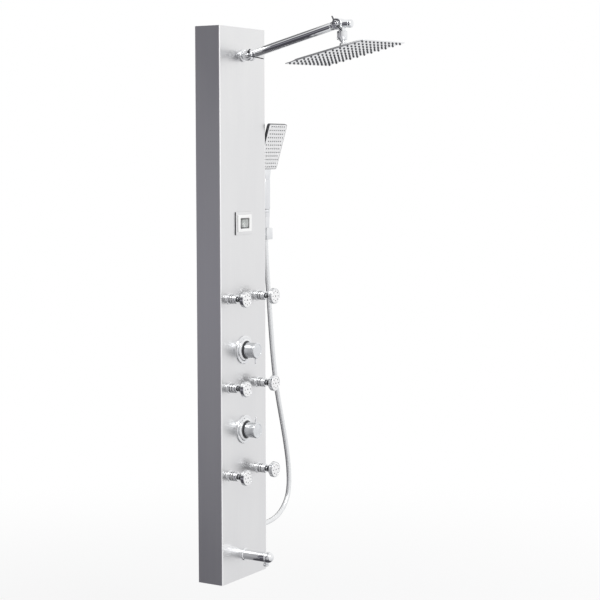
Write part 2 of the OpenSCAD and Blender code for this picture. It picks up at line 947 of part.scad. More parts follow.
module holder() {
    half = holder_h / 2;
    color("silver") difference() {
        union() {
            at_side(hand_out, holder_z) {
                round_box(holder_plate, holder_plate, holder_plate_t, holder_r);
                round_box(holder_arm_w, holder_arm_h, holder_reach, holder_r);
            }
            at_holder() translate([0, 0, -half]) round_box(holder_w, holder_w, holder_h, holder_r);
        }
        // tapered seat and the slot that lets the hose in from the front
        at_holder() {
            translate([0, 0, -half - over]) cylinder(
                d1 = cone_at(-half - over) + 2 * gap,
                d2 = cone_at(half + over) + 2 * gap,
                h = holder_h + 2 * over);
            translate([-slot_w / 2, -holder_w, -half - over]) cube([slot_w, holder_w, holder_h + 2 * over]);
        }
        for (i = [-1, 1]) at_side(hand_out, holder_z + i * holder_screw_pitch / 2)
            translate([0, 0, -over]) cylinder(d = holder_screw_d, h = holder_plate_t + 2 * over);
    }
}

holder_screw_l = 10;
holder_screw_head_d = 7;
holder_screw_head_t = 2;

// Screws from inside the panel into the holder's plate
module holder_screws() {
    color("gainsboro") for (i = [-1, 1])
        at_side(hand_out, holder_z + i * holder_screw_pitch / 2) translate([0, 0, -sheet_t]) {
            translate([0, 0, -holder_screw_head_t])
                cylinder(d = holder_screw_head_d, h = holder_screw_head_t);
            cylinder(d = holder_screw_d - gap, h = sheet_t + holder_plate_t);
        }
}

// Hand shower

spray_r = 7;
rim = 1.6;
face_t = 2;
// Distance of the face's lower edge in front of the handle's axis
spray_fwd = 6.9;
grip_r = 8;
grip_low_z = holder_z + cone_above;
grip_h = spray_z - grip_low_z;
// Length of the shoulder that joins the handle to the paddle
shoulder_h = 26;
ferrule_h = 8;
hand_spigot_d = 16;
hand_spigot_l = 12;
spray_nozzle_d = 3.2;
spray_nozzle_h = 1.6;
spray_cols = 8;
spray_rows = 12;
spray_pitch = 10.5;

// The paddle's own frame: z up the face, -y out of it
module at_spray() {
    translate([hand_x, -hand_out - spray_fwd, base_z + spray_z]) rotate([spray_lean, 0, 0]) children();
}

// Plate in the paddle's plane from its front to a depth behind it
module spray_plate(inset, front, t) {
    translate([0, front + t, spray_l / 2]) rotate([90, 0, 0])
        round_box(spray_w - 2 * inset, spray_l - 2 * inset, t, spray_r - inset);
}

module handset_body() {
    color("silver") {
        translate([hand_x, -hand_out, base_z + grip_low_z]) {
            translate([0, 0, ferrule_h]) round_box(grip_w, grip_t, grip_h - ferrule_h, grip_r);
            chamfered(cone_top_d, ferrule_h + chamfer);
            translate([0, 0, -hand_spigot_l]) cylinder(d = hand_spigot_d, h = hand_spigot_l + chamfer);
        }
        difference() {
            union() {
                hull() {
                    translate([hand_x, -hand_out, base_z + spray_z - shoulder_h])
                        linear_extrude(chamfer) round_rect(grip_w, grip_t, grip_r, $fn = 32);
                    at_spray() translate([0, face_t + (spray_t - face_t) / 2, shoulder_h])
                        cube([grip_w, spray_t - face_t, chamfer], center = true);
                }
                at_spray() spray_plate(0, 0, spray_t);
            }
            at_spray() spray_plate(rim, -grip_t, face_t + grip_t);
        }
    }
}

module handset_face() {
    color("gainsboro") at_spray() spray_plate(rim + gap / 2, 0, face_t);
}

// Rows of nozzles, every second row set over by half a pitch
module handset_nozzles() {
    color("dimgray") at_spray() for (j = [0 : spray_rows - 1], i = [0 : spray_cols - 1 - j % 2]) {
        x = (i - (spray_cols - 1 - j % 2) / 2) * spray_pitch;
        z = spray_l / 2 + (j - (spray_rows - 1) / 2) * spray_pitch;
        translate([x, 0, z]) rotate([90, 0, 0])
            cylinder(d1 = spray_nozzle_d, d2 = spray_nozzle_d - chamfer, h = spray_nozzle_h);
    }
}

// Hose

hose_nut_w = 24;
hose_nut_l = 18;
// Flange and threaded stub of the outlet
outlet_flange_t = 8;
stub_l = 10;
hose_sides = 10;

// Height of the lower end of the cone nut
cone_low_z = grip_low_z - cone_l;

module hose_nut_top() {
    color("silver") translate([hand_x, -hand_out, base_z + cone_low_z]) difference() {
        cylinder(d1 = cone_low_d, d2 = cone_top_d, h = cone_l);
        translate([0, 0, cone_l - hand_spigot_l - gap])
            cylinder(d = hand_spigot_d + 2 * run, h = hand_spigot_l + gap + over);
    }
}

// Outlet on the panel's side: a flange and a threaded stub for the hose's nut
module hose_outlet() {
    color("silver") at_side(hand_out, outlet_z) {
        chamfered(arm_flange_d, outlet_flange_t);
        translate([0, 0, -tail_l]) cylinder(d = thread_d - 2 * run, h = tail_l + outlet_flange_t + stub_l);
    }
}

module hose_nut_bottom() {
    color("silver") at_side(hand_out, outlet_z) translate([0, 0, outlet_flange_t]) difference() {
        chamfered(hose_nut_w, hose_nut_l, 3 * chamfer);
        translate([0, 0, -over]) cylinder(d = thread_d, h = stub_l + gap + over);
    }
}

// Ends of the hose and its route between them: the share of the height and the share of the bow
hose_start = [panel_w / 2 + outlet_flange_t + hose_nut_l, outlet_z];
hose_end = [hand_x, cone_low_z];
hose_shares = [
    [0, 0], [0, 0.15], [0.0025, 0.35], [0.009, 0.53], [0.0235, 0.71], [0.046, 0.86], [0.075, 0.96],
    [0.11, 1], [0.147, 0.995], [0.187, 0.963], [0.229, 0.91], [0.278, 0.832], [0.33, 0.739],
    [0.382, 0.641], [0.431, 0.55], [0.481, 0.466], [0.53, 0.397], [0.592, 0.326], [0.659, 0.262],
    [0.733, 0.198], [0.805, 0.139], [0.87, 0.085], [0.931, 0.039], [0.974, 0.01], [1, 0]
];
hose_route = [
    for (s = hose_shares) [
        hose_start.x + (hose_end.x - hose_start.x) * s[0] + hose_bow * s[1],
        hose_start.y + (hose_end.y - hose_start.y) * s[0]
    ]
];

// Direction of the route at a point, square to the nuts at its two ends
function route_dir(i) =
    i == 0 ? [1, 0] :
    i == len(hose_route) - 1 ? [0, 1] :
    let (v = hose_route[i + 1] - hose_route[i - 1]) v / norm(v);

// Ring of points square to the route
function hose_ring(i) =
    let (dir = route_dir(i), p = hose_route[i])
    [for (k = [0 : hose_sides - 1])
        let (a = k * 360 / hose_sides, out = cos(a) * hose_d / 2)
        [p.x - dir.y * out, -hand_out + sin(a) * hose_d / 2, base_z + p.y + dir.x * out]];

module hose() {
    rings = len(hose_route);
    points = [for (i = [0 : rings - 1]) each hose_ring(i)];
    walls = [
        for (i = [0 : rings - 2], k = [0 : hose_sides - 1])
            let (a = i * hose_sides + k, b = i * hose_sides + (k + 1) % hose_sides)
            each [[a, b, b + hose_sides], [a, b + hose_sides, a + hose_sides]]
    ];
    start = [for (k = [hose_sides - 1 : -1 : 0]) k];
    end = [for (k = [0 : hose_sides - 1]) (rings - 1) * hose_sides + k];
    color("silver") polyhedron(points, concat([start], walls, [end]));
}

// Pipes behind the panel

pipe_d = 12;
branch_d = 16;
nipple_l = 18;
nipple_x = 38;
// Distance of the side ports from a barrel's axis
port_off = 12;
// Room between the middle of an outlet pipe and the tail of the hose outlet
pipe_room = 8;
// Distance of the outlet pipes from the panel's centre line
side_x = panel_w / 2 - tail_l - pipe_room;

// Hot and cold inlets under the mixer, with half inch threads
module inlet_nipples() {
    color("gold") for (i = [-1, 1])
        translate([i * nipple_x, pipe_y, base_z + mixer_z - boss_l - nipple_l])
            cylinder(d = thread_d, h = nipple_l);
}

// Pipes from the mixer to the diverter and from the diverter to the arm
module riser_pipe() {
    bend_z = base_z + arm_z;
    color("orangered") {
        rod([0, pipe_y, base_z + mixer_z + boss_l], [0, pipe_y, base_z + diverter_z - boss_l], pipe_d);
        pipe([
            [0, pipe_y, base_z + diverter_z + boss_l], [0, pipe_y, bend_z],
            [0, -panel_d + tail_l, bend_z]
        ], pipe_d);
    }
}

// Upright on each side, fed by the diverter, with a branch to every jet's tail
module jet_manifold() {
    y = -panel_d + jet_tail_l + pipe_d / 2;
    top = jet_z + (jet_rows - 1) * jet_pitch;
    color("orangered") for (i = [-1, 1]) {
        x = i * jet_span / 2;
        rod([x, y, base_z + jet_z], [x, y, base_z + top], pipe_d);
        rod([i * valve_l / 2, y, base_z + diverter_z], [x, y, base_z + diverter_z], pipe_d);
        for (k = [0 : jet_rows - 1]) rod(
            [x, y, base_z + jet_z + k * jet_pitch],
            [x, -panel_d + jet_tail_l, base_z + jet_z + k * jet_pitch], branch_d);
    }
}

// Pipes from the diverter down to the spout and to the hose outlet
module outlet_pipes() {
    y = pipe_y + port_off;
    from_z = base_z + diverter_z;
    low_z = base_z + spout_z;
    side_z = base_z + outlet_z;
    color("orangered") {
        pipe([
            [-valve_l / 2, y, from_z], [-side_x, y, from_z], [-side_x, y, low_z],
            [0, y, low_z], [0, -panel_d + tail_l, low_z]
        ], pipe_d);
        pipe([
            [valve_l / 2, y, from_z], [side_x, y, from_z], [side_x, y, side_z],
            [side_x, -hand_out, side_z], [panel_w / 2 - tail_l, -hand_out, side_z]
        ], pipe_d);
    }
}

front_panel();
hanger_rails();
wall_brackets();
arm_flange();
base_knuckle();
base_lever();
arm_yokes();
arm_tube();
end_lever();
end_elbow();
swivel_nut();
swivel_ball();
head_collar();
rain_top_plate();
rain_face_plate();
rain_nozzles();
display_bezel();
display_lens();
display_screen();
display_housing();
display_battery();
probe_cable();
knob_flanges();
diverter_knob();
diverter_spindle();
diverter_valve();
mixer_knob();
mixer_spindle();
mixer_valve();
jet_sockets();
jet_backnuts();
jet_ball_1();
jet_ball_2();
jet_ball_3();
jet_ball_4();
jet_ball_5();
jet_ball_6();
jet_head_1();
jet_head_2();
jet_head_3();
jet_head_4();
jet_head_5();
jet_head_6();
spout();
spout_aerator();
holder();
holder_screws();
handset_body();
handset_face();
handset_nozzles();
hose_nut_top();
hose();
hose_nut_bottom();
hose_outlet();
backnuts();
inlet_nipples();
riser_pipe();
jet_manifold();
outlet_pipes();
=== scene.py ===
"""Looks of the shower panel column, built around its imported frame."""

import math

import bmesh
import bpy
from mathutils import Matrix, Vector


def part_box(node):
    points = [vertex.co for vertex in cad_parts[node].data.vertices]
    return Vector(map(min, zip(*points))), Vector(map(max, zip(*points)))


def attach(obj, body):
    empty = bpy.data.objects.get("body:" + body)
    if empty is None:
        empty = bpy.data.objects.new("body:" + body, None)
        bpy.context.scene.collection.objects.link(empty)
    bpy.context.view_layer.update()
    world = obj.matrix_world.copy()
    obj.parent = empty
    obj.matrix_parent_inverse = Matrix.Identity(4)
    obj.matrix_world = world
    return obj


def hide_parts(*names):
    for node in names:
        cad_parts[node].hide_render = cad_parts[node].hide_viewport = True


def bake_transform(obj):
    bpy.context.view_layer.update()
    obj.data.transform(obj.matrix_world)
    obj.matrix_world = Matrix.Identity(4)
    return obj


bl_info = {
    "name": "Shower panel column", "version": (1, 0, 0), "blender": (4, 5, 0),
    "location": "View3D > Sidebar > Shower panel",
    "description": "Builds the visible pieces and finishes of a shower panel column",
    "category": "Object",
}

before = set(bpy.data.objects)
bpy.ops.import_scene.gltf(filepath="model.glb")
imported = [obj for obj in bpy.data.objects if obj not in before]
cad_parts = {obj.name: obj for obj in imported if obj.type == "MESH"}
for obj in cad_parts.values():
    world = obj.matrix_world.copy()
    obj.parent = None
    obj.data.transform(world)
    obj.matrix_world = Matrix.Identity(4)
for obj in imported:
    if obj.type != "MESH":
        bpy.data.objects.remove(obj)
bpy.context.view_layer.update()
PANEL_LOW, PANEL_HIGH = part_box("front_panel")

# Places in the row's frame, in millimetres
M = 1000.0
PANEL_W = (PANEL_HIGH.x - PANEL_LOW.x) * M
PANEL_D = -PANEL_LOW.y * M
BASE_Z = PANEL_LOW.z * M
JET_SPAN, JET_Z, JET_PITCH = 140.0, 295.0, 240.5
ARM_RISE, ARM_LEN, ARM_Z, PIVOT_OUT = 14.4, 285.0, 1426.0, 22.0
DIVERTER_Z, MIXER_Z, SPOUT_Z, DISPLAY_Z = 632.0, 413.0, 65.0, 976.5
HAND_X, HAND_OUT, HOLDER_Z, GRIP_LOW_Z, SPRAY_Z = 162.0, 45.0, 941.0, 1001.0, 1120.5
SPRAY_LEAN, SPRAY_FWD = 16.7, 6.9
OUTLET_Z = 117.0
HEAD_TILT, HEAD_ROLL = 12.5, 1.4
THREAD_PITCH = 1.814


def colour(code):
    """sRGB hex to the linear colour that a shader takes."""
    parts = [int(code[i : i + 2], 16) / 255 for i in (1, 3, 5)]
    return [c / 12.92 if c <= 0.04045 else ((c + 0.055) / 1.055) ** 2.4 for c in parts] + [1.0]


def node(tree, kind, inputs=None, to=None, stops=(), **settings):
    """Adds one node with its settings and links. An input is a value, or a socket to link from,
    and to is a socket that the node feeds. stops are a ramp's pairs of place and hex colour."""
    made = tree.nodes.new(f"ShaderNode{kind}")
    for key, value in settings.items():
        setattr(made, key, value)
    for key, value in (inputs or {}).items():
        if isinstance(value, bpy.types.NodeSocket):
            tree.links.new(value, made.inputs[key])
        else:
            made.inputs[key].default_value = value
    for i, (place, code) in enumerate(stops):
        elements = made.color_ramp.elements
        element = elements[i] if i < len(elements) else elements.new(place)
        element.position, element.color = place, colour(code)
    if to:
        tree.links.new(made.outputs[0], to)
    return made


def start(name, **sockets):
    """New material with a shader whose constant sockets are set, and its object coordinates."""
    made = bpy.data.materials.new(name)
    made.use_nodes = True
    tree = made.node_tree
    shader = tree.nodes["Principled BSDF"]
    for key, value in sockets.items():
        shader.inputs[key.replace("_", " ")].default_value = value
    place = node(tree, "TexCoord").outputs["Object"]
    return made, tree, shader, place


def grain(tree, place, size_mm, stretch=(1, 1, 1), detail=2.0, rough=0.5):
    """Noise whose blotches measure size_mm across, longer along a stretched axis."""
    scale = [M / size_mm / s for s in stretch]
    spot = node(tree, "Mapping", {"Vector": place, "Scale": scale}).outputs["Vector"]
    settings = {"Vector": spot, "Scale": 1.0, "Detail": detail, "Roughness": rough}
    return node(tree, "TexNoise", settings).outputs["Fac"]


def paint(tree, shader, factor, stops, rough, span=(0.3, 0.7)):
    """Lets colour and roughness follow one factor."""
    node(tree, "ValToRGB", {"Fac": factor}, shader.inputs["Base Color"], stops)
    reach = {"Value": factor, "From Min": span[0], "From Max": span[1]}
    reach.update({"To Min": rough[0], "To Max": rough[1]})
    node(tree, "MapRange", reach, shader.inputs["Roughness"])


def worn(name, stops, rough, size_mm, depth_mm, stretch=(1, 1, 1), detail=3.0, **sockets):
    """Finish with a grain: its colours, its range of roughness and the depth of its relief."""
    made, tree, shader, place = start(name, **sockets)
    fine = grain(tree, place, size_mm, stretch, detail)
    paint(tree, shader, fine, stops, rough)
    if depth_mm:
        node(tree, "Bump", {"Height": fine, "Distance": depth_mm / M}, shader.inputs["Normal"])
    return made


# Finishes

# Where the painted bend highlight starts and where it is full, in millimetres in from the sheet's
# outer faces
BEND_FROM, BEND_TO = 3.5, 2.0


def bend_highlight(tree, place):
    """1 along the sheet's two front bends, where a highlight is painted white into the base
    colour, else 0.
    """
    parts = node(tree, "SeparateXYZ", {"Vector": place}).outputs
    off = node(tree, "Math", {0: parts["X"]}, operation="ABSOLUTE").outputs["Value"]
    near = []
    for value, edge, way in ((off, PANEL_W / 2, 1), (parts["Y"], -PANEL_D, -1)):
        low, high = (edge - way * BEND_FROM) / M, (edge - way * BEND_TO) / M
        reach = {"Value": value, "From Min": low, "From Max": high}
        near.append(node(tree, "MapRange", reach).outputs["Result"])
    return node(tree, "Math", dict(enumerate(near)), operation="MULTIPLY").outputs["Value"]


def brushed_steel():
    """Stainless sheet with an upright hairline: soft mirror images, drawn out along the lines.
    The real lines are 0.15 mm apart; they are drawn 0.6 mm wide so that they show."""
    made, tree, shader, place = start("brushed_stainless_sheet", Metallic=1.0)
    lines = grain(tree, place, 0.6, (1, 1, 300), 2.0, 0.6)
    cloudy = grain(tree, place, 90, (1, 1, 3), 2.0)
    both = node(tree, "Mix", {"Factor": 0.5, "A": lines, "B": cloudy}).outputs["Result"]
    tones = node(tree, "ValToRGB", {"Fac": both}, stops=[(0.3, "#dfdfe0"), (0.7, "#e8e8e8")])
    # Painted highlight: the base colour turns white along the two front bends
    tones = {"Factor": bend_highlight(tree, place), "A": tones.outputs["Color"], "B": colour("#ffffff")}
    tones = node(tree, "Mix", tones, data_type="RGBA").outputs["Result"]
    tree.links.new(tones, shader.inputs["Base Color"])
    reach = {"Value": both, "From Min": 0.3, "From Max": 0.7, "To Min": 0.28, "To Max": 0.36}
    node(tree, "MapRange", reach, shader.inputs["Roughness"])
    node(tree, "Bump", {"Height": lines, "Distance": 0.005 / M}, shader.inputs["Normal"])
    return made


def galvanised_steel():
    """Hot dipped brackets and rails: dull grey with the zinc's flat crystals, 9 mm across."""
    made, tree, shader, place = start("galvanised_steel", Metallic=1.0)
    crystals = node(tree, "TexVoronoi", {"Vector": place, "Scale": M / 9}).outputs["Color"]
    tone = node(tree, "SeparateColor", {"Color": crystals}).outputs["Red"]
    stops = [(0.0, "#8e9294"), (0.5, "#a3a7a9"), (1.0, "#b4b7b8")]
    paint(tree, shader, tone, stops, (0.34, 0.52), (0, 1))
    node(tree, "Bump", {"Height": tone, "Distance": 0.02 / M}, shader.inputs["Normal"])
    return made


def chrome():
    """Chrome on polished brass: a clear mirror, with patches of limescale and handling."""
    made, tree, shader, place = start("polished_chrome_plate", Metallic=1.0)
    film = grain(tree, place, 26, detail=5.0, rough=0.65)
    paint(tree, shader, film, [(0.35, "#e9eaeb"), (0.7, "#e0e1e3")], (0.03, 0.09))
    ripple = grain(tree, place, 14)
    node(tree, "Bump", {"Height": ripple, "Distance": 0.006 / M}, shader.inputs["Normal"])
    return made


def turned_chrome(name, centre, axis):
    """Chrome face that was spun while it was polished: faint rings, drawn 0.9 mm apart, that catch
    the light as a fan. centre and axis place the rings, in millimetres."""
    made, tree, shader, place = start(name, Metallic=1.0)
    ways = {0: place, 1: [c / M for c in centre]}
    away = node(tree, "VectorMath", ways, operation="SUBTRACT").outputs["Vector"]
    ways = {0: away, 1: axis}
    across = node(tree, "VectorMath", ways, operation="CROSS_PRODUCT").outputs["Vector"]
    length = node(tree, "VectorMath", {0: across}, operation="LENGTH").outputs["Value"]
    turns = {0: length, 1: 2 * math.pi * M / 0.9}
    turns = node(tree, "Math", turns, operation="MULTIPLY").outputs["Value"]
    rings = node(tree, "Math", {0: turns}, operation="SINE").outputs["Value"]
    smear = grain(tree, place, 18, detail=4.0)
    paint(tree, shader, smear, [(0.3, "#e2e4e6"), (0.7, "#d8dadc")], (0.08, 0.16))
    node(tree, "Bump", {"Height": rings, "Distance": 0.004 / M}, shader.inputs["Normal"])
    return made


def screen_glass():
    """Liquid crystal cell at rest: neutral grey behind its polariser, with its 1.1 mm grid."""
    made, tree, shader, place = start("liquid_crystal_cell", Coat_Weight=0.5, Coat_Roughness=0.1)
    shade = grain(tree, place, 16, detail=1.0)
    cells = node(tree, "TexChecker", {"Vector": place, "Scale": M / 1.1}).outputs["Fac"]
    both = node(tree, "Mix", {"Factor": 0.06, "A": shade, "B": cells}).outputs["Result"]
    paint(tree, shader, both, [(0.3, "#bdbebc"), (0.7, "#cfd0ce")], (0.22, 0.32))
    return made


def brass():
    """Bare brass of valves and nuts: cast and machined, warm yellow, with brown patches."""
    made, tree, shader, place = start("bare_brass", Metallic=1.0)
    patches = grain(tree, place, 22, detail=6.0, rough=0.7)
    tools = grain(tree, place, 0.9, (40, 1, 1), 2.0)
    stops = [(0.3, "#8f7440"), (0.5, "#b7985a"), (0.72, "#c8ac6e")]
    paint(tree, shader, patches, stops, (0.42, 0.24))
    node(tree, "Bump", {"Height": tools, "Distance": 0.02 / M}, shader.inputs["Normal"])
    return made


def hose_skin():
    """Smooth shower hose: silver foil wound at 3 mm under clear vinyl. The winding shows as faint
    slanting bands and the vinyl as a clear gloss over them."""
    made, tree, shader, place = start(
        "silver_foil_hose", Metallic=0.75, Coat_Weight=1.0, Coat_Roughness=0.06, Coat_IOR=1.53
    )
    run = node(tree, "Attribute", attribute_name="winding").outputs["Fac"]
    speckle = grain(tree, place, 5, detail=4.0)
    both = node(tree, "Mix", {"Factor": 0.45, "A": run, "B": speckle}).outputs["Result"]
    paint(tree, shader, both, [(0.25, "#dcdddf"), (0.75, "#f1f2f2")], (0.2, 0.12))
    return made


# Finishes with one grain: name, colours, roughness, the grain's size and depth in millimetres,
# how it is drawn out, its detail and the constant sockets
GRAINED = {
    # Lever wings of die-cast zinc, jet bells and the hand shower's rim: chrome darker than the
    # rest, a little soft, which paints the dark reflections of these chrome parts
    "dark_reflection": dict(
        name="dark_reflection_chrome_plate", stops=[(0.3, "#505154"), (0.7, "#66676a")], rough=(0.1, 0.2),
        size_mm=8.0, depth_mm=0.004, Metallic=1.0,
    ),
    # Moulded grey silicone of the spray nozzles: matt, with a bloom of limescale
    "silicone": dict(
        name="grey_silicone", stops=[(0.3, "#606265"), (0.7, "#787a7d")], rough=(0.48, 0.62),
        size_mm=1.2, depth_mm=0.03, Specular_IOR_Level=0.35,
    ),
    # Window frame moulded in white ABS: soft sheen with a fine grain
    "bezel": dict(
        name="satin_white_abs", stops=[(0.3, "#f2f2f2"), (0.7, "#f8f8f7")], rough=(0.24, 0.34),
        size_mm=0.8, depth_mm=0.01, Coat_Weight=0.35, Coat_Roughness=0.12,
    ),
    # Hand shower body: chrome on ABS, softer than on brass, with a faint moulding ripple
    "abs_chrome": dict(
        name="chromed_abs", stops=[(0.3, "#dcdee0"), (0.7, "#e4e5e7")], rough=(0.06, 0.13),
        size_mm=34, depth_mm=0.03, stretch=(1, 1, 2), detail=1.0, Metallic=1.0,
    ),
    # Spray faces: light grey ABS with a fine spark-eroded grain
    "pale": dict(
        name="light_grey_abs", stops=[(0.3, "#f1f1f2"), (0.7, "#f8f8f8")], rough=(0.3, 0.42),
        size_mm=0.6, depth_mm=0.008,
    ),
    # Display housing behind the front: plain white ABS off the mould, with flow marks
    "white": dict(
        name="moulded_white_abs", stops=[(0.35, "#e4e3df"), (0.65, "#eeede9")], rough=(0.38, 0.5),
        size_mm=6.0, depth_mm=0.02, stretch=(1, 1, 4),
    ),
    # Balls of the jets and sleeves of the knobs: charcoal acetal, waxy, with fine turning marks.
    # On the knobs' sleeves the dark is painted shade in the gap between flange and knob
    "charcoal_and_gap_shade": dict(
        name="charcoal_plastic_and_gap_shade", stops=[(0.3, "#26272a"), (0.7, "#323336")], rough=(0.3, 0.4),
        size_mm=0.9, depth_mm=0.01,
    ),
    # Window of the display: clear acrylic with a hard coat and faint wiping marks
    "window": dict(
        name="clear_acrylic_window", stops=[(0.3, "#f2f5f4"), (0.7, "#fbfcfc")],
        rough=(0.02, 0.07), size_mm=3, depth_mm=0, stretch=(12, 1, 1), Transmission_Weight=1.0,
        IOR=1.49, Coat_Weight=0.3, Coat_Roughness=0.04,
    ),
    # Segments that are switched off: a shade darker than the cell, only seen from near
    "segments": dict(
        name="unlit_segments", stops=[(0.3, "#acaeac"), (0.7, "#b7b8b6")], rough=(0.25, 0.35),
        size_mm=2.0, depth_mm=0,
    ),
    # Printed border behind the window: dark grey screen ink with a little orange peel
    "border": dict(
        name="dark_grey_ink", stops=[(0.3, "#222325"), (0.7, "#2f3032")], rough=(0.4, 0.55),
        size_mm=1.0, depth_mm=0.01,
    ),
    # Can of the coin cell: nickel plated steel with fine circular wiping marks
    "can": dict(
        name="nickel_plated_steel", stops=[(0.3, "#b9b8b3"), (0.7, "#cac9c4")], rough=(0.2, 0.34),
        size_mm=1.0, depth_mm=0.008, stretch=(12, 1, 12), Metallic=1.0,
    ),
    # Zinc plated screws: bluish grey, bright but not clear
    "screws": dict(
        name="bright_zinc_plate", stops=[(0.3, "#a9aeb3"), (0.7, "#c3c7ca")], rough=(0.22, 0.4),
        size_mm=2.2, depth_mm=0.015, Metallic=1.0,
    ),
    # Cable sheath and sealing rings: black rubber, dull, greying where it was handled
    "rubber": dict(
        name="black_rubber", stops=[(0.3, "#202123"), (0.7, "#313234")], rough=(0.55, 0.75),
        size_mm=2.0, depth_mm=0.03, Specular_IOR_Level=0.3,
    ),
    # Cross-linked polyethylene water pipe: milky white, waxy, with long drawing lines
    "pex": dict(
        name="white_pex_pipe", stops=[(0.3, "#dcdad2"), (0.7, "#e9e7e0")], rough=(0.36, 0.5),
        size_mm=1.6, depth_mm=0.03, stretch=(1, 1, 60), Subsurface_Weight=0.15,
        Subsurface_Radius=(0.004, 0.004, 0.0035),
    ),
}
OTHERS = {
    "steel": brushed_steel, "zinc": galvanised_steel, "chrome": chrome, "cell": screen_glass,
    "brass": brass, "hose": hose_skin,
}
finishes = {}


def shine(key):
    """The finish of that name, made once."""
    if key not in finishes:
        finishes[key] = worn(**GRAINED[key]) if key in GRAINED else OTHERS[key]()
    return finishes[key]


# Places: local z points out of the face that carries the piece


def shift(x, y, z):
    return Matrix.Translation((x, y, z))


def turn(axis, degrees):
    return Matrix.Rotation(math.radians(degrees), 4, axis)


def at_front(x, z):
    return shift(x, -PANEL_D, BASE_Z + z) @ turn("X", 90)


def at_side(out, z):
    return shift(PANEL_W / 2, -out, BASE_Z + z) @ turn("Z", 90) @ turn("X", 90)


def at_jet(number):
    side = -1 if number % 2 else 1
    return at_front(side * JET_SPAN / 2, JET_Z + JET_PITCH * ((number - 1) // 2))


BASE_PIVOT = shift(0, -PANEL_D - PIVOT_OUT, BASE_Z + ARM_Z)
ARM = BASE_PIVOT @ turn("X", -ARM_RISE)
END_PIVOT = ARM @ shift(0, -ARM_LEN, 0) @ turn("X", ARM_RISE)
BALL = END_PIVOT @ shift(0, -10, -36.5)
HEAD = BALL @ turn("Y", -HEAD_ROLL) @ turn("X", -HEAD_TILT)
GRIP = shift(HAND_X, -HAND_OUT, BASE_Z)
SPRAY = shift(HAND_X, -HAND_OUT - SPRAY_FWD, BASE_Z + SPRAY_Z) @ turn("X", SPRAY_LEAN)


# Forms

# Longest share of a run that a rounded corner may take up
MOST_CUT = 0.48
CURVE_STEPS, BALL_STEPS = 24, 24


def around(steps):
    return [2 * math.pi * k / steps for k in range(steps)]


def polar(r, a, z):
    return r * math.cos(a), r * math.sin(a), z


def rounded(before, here, after, radius, steps):
    """Points on the round bend that joins two straight runs."""
    a, b = before - here, after - here
    cut = min(radius, a.length * MOST_CUT, b.length * MOST_CUT)
    one, two = here + a.normalized() * cut, here + b.normalized() * cut
    shares = [k / steps for k in range(steps + 1)]
    return [one * (1 - t) ** 2 + here * 2 * t * (1 - t) + two * t * t for t in shares]


def softened(outline, radius, steps=4):
    """Rounds the corners of an outline of (x, y) or (x, y, radius) points."""
    made = []
    last = len(outline) - 1
    for i, point in enumerate(outline):
        r = point[2] if len(point) > 2 else radius
        p = Vector(point[:2])
        if i in (0, last) or r <= 0:
            made.append(tuple(p))
            continue
        before, after = Vector(outline[i - 1][:2]), Vector(outline[i + 1][:2])
        if min((before - p).length, (after - p).length) < 1e-6:
            made.append(tuple(p))
        else:
            made += [tuple(q) for q in rounded(before, p, after, r, steps)]
    return made


def round_corners(w, h, r, steps=5):
    """Points round a rectangle with round corners, centred."""
    made = []
    r = max(min(r, w / 2 - 0.01, h / 2 - 0.01), 0.01)
    corners = ((1, 1, 0), (-1, 1, 90), (-1, -1, 180), (1, -1, 270))
    for sx, sy, first in corners:
        for k in range(steps + 1):
            a = math.radians(first + 90 * k / steps)
            made.append((sx * (w / 2 - r) + r * math.cos(a), sy * (h / 2 - r) + r * math.sin(a)))
    return made


def even_route(points, spacing):
    """Points at an even spacing on a smooth curve through the given ones."""
    pts = [Vector(p) for p in points]
    ends = [pts[0] * 2 - pts[1]] + pts + [pts[-1] * 2 - pts[-2]]
    fine = []
    for a, b, c, d in zip(ends, ends[1:], ends[2:], ends[3:]):
        for k in range(CURVE_STEPS):
            t = k / CURVE_STEPS
            square, cube = 2 * a - 5 * b + 4 * c - d, 3 * b - a - 3 * c + d
            fine.append(0.5 * (2 * b + (c - a) * t + square * t * t + cube * t**3))
    fine.append(pts[-1])
    total = sum((b - a).length for a, b in zip(fine, fine[1:]))
    count = max(2, round(total / spacing))
    made, travelled, wanted = [fine[0]], 0.0, 1
    for a, b in zip(fine, fine[1:]):
        step = (b - a).length
        while wanted < count and travelled + step >= total * wanted / count:
            made.append(a.lerp(b, (total * wanted / count - travelled) / step))
            wanted += 1
        travelled += step
    made.append(fine[-1])
    return made, total


def bent_route(points, radius, steps=6):
    """Straight runs joined by round bends, as a pipe is bent."""
    pts = [Vector(p) for p in points]
    made = pts[:1]
    for before, here, after in zip(pts, pts[1:], pts[2:]):
        made += rounded(before, here, after, radius, steps)
    return made + pts[-1:]


def edge_loops(w, h, corner, low, high, edge, steps, way):
    """Outlines up a plate's side with soft edges. way is -1 for an outer side, 1 for a window."""
    made = []
    for base, sign in ((low, 1), (high, -1)):
        part = []
        for k in range(steps + 1):
            a = math.pi / 2 * k / steps
            inset, rise = edge * (1 - math.sin(a)), edge * (1 - math.cos(a))
            loop = round_corners(w + 2 * way * inset, h + 2 * way * inset, corner + way * inset)
            part.append([(x, y, base + sign * rise) for x, y in loop])
        made += part if sign > 0 else part[::-1]
    return made


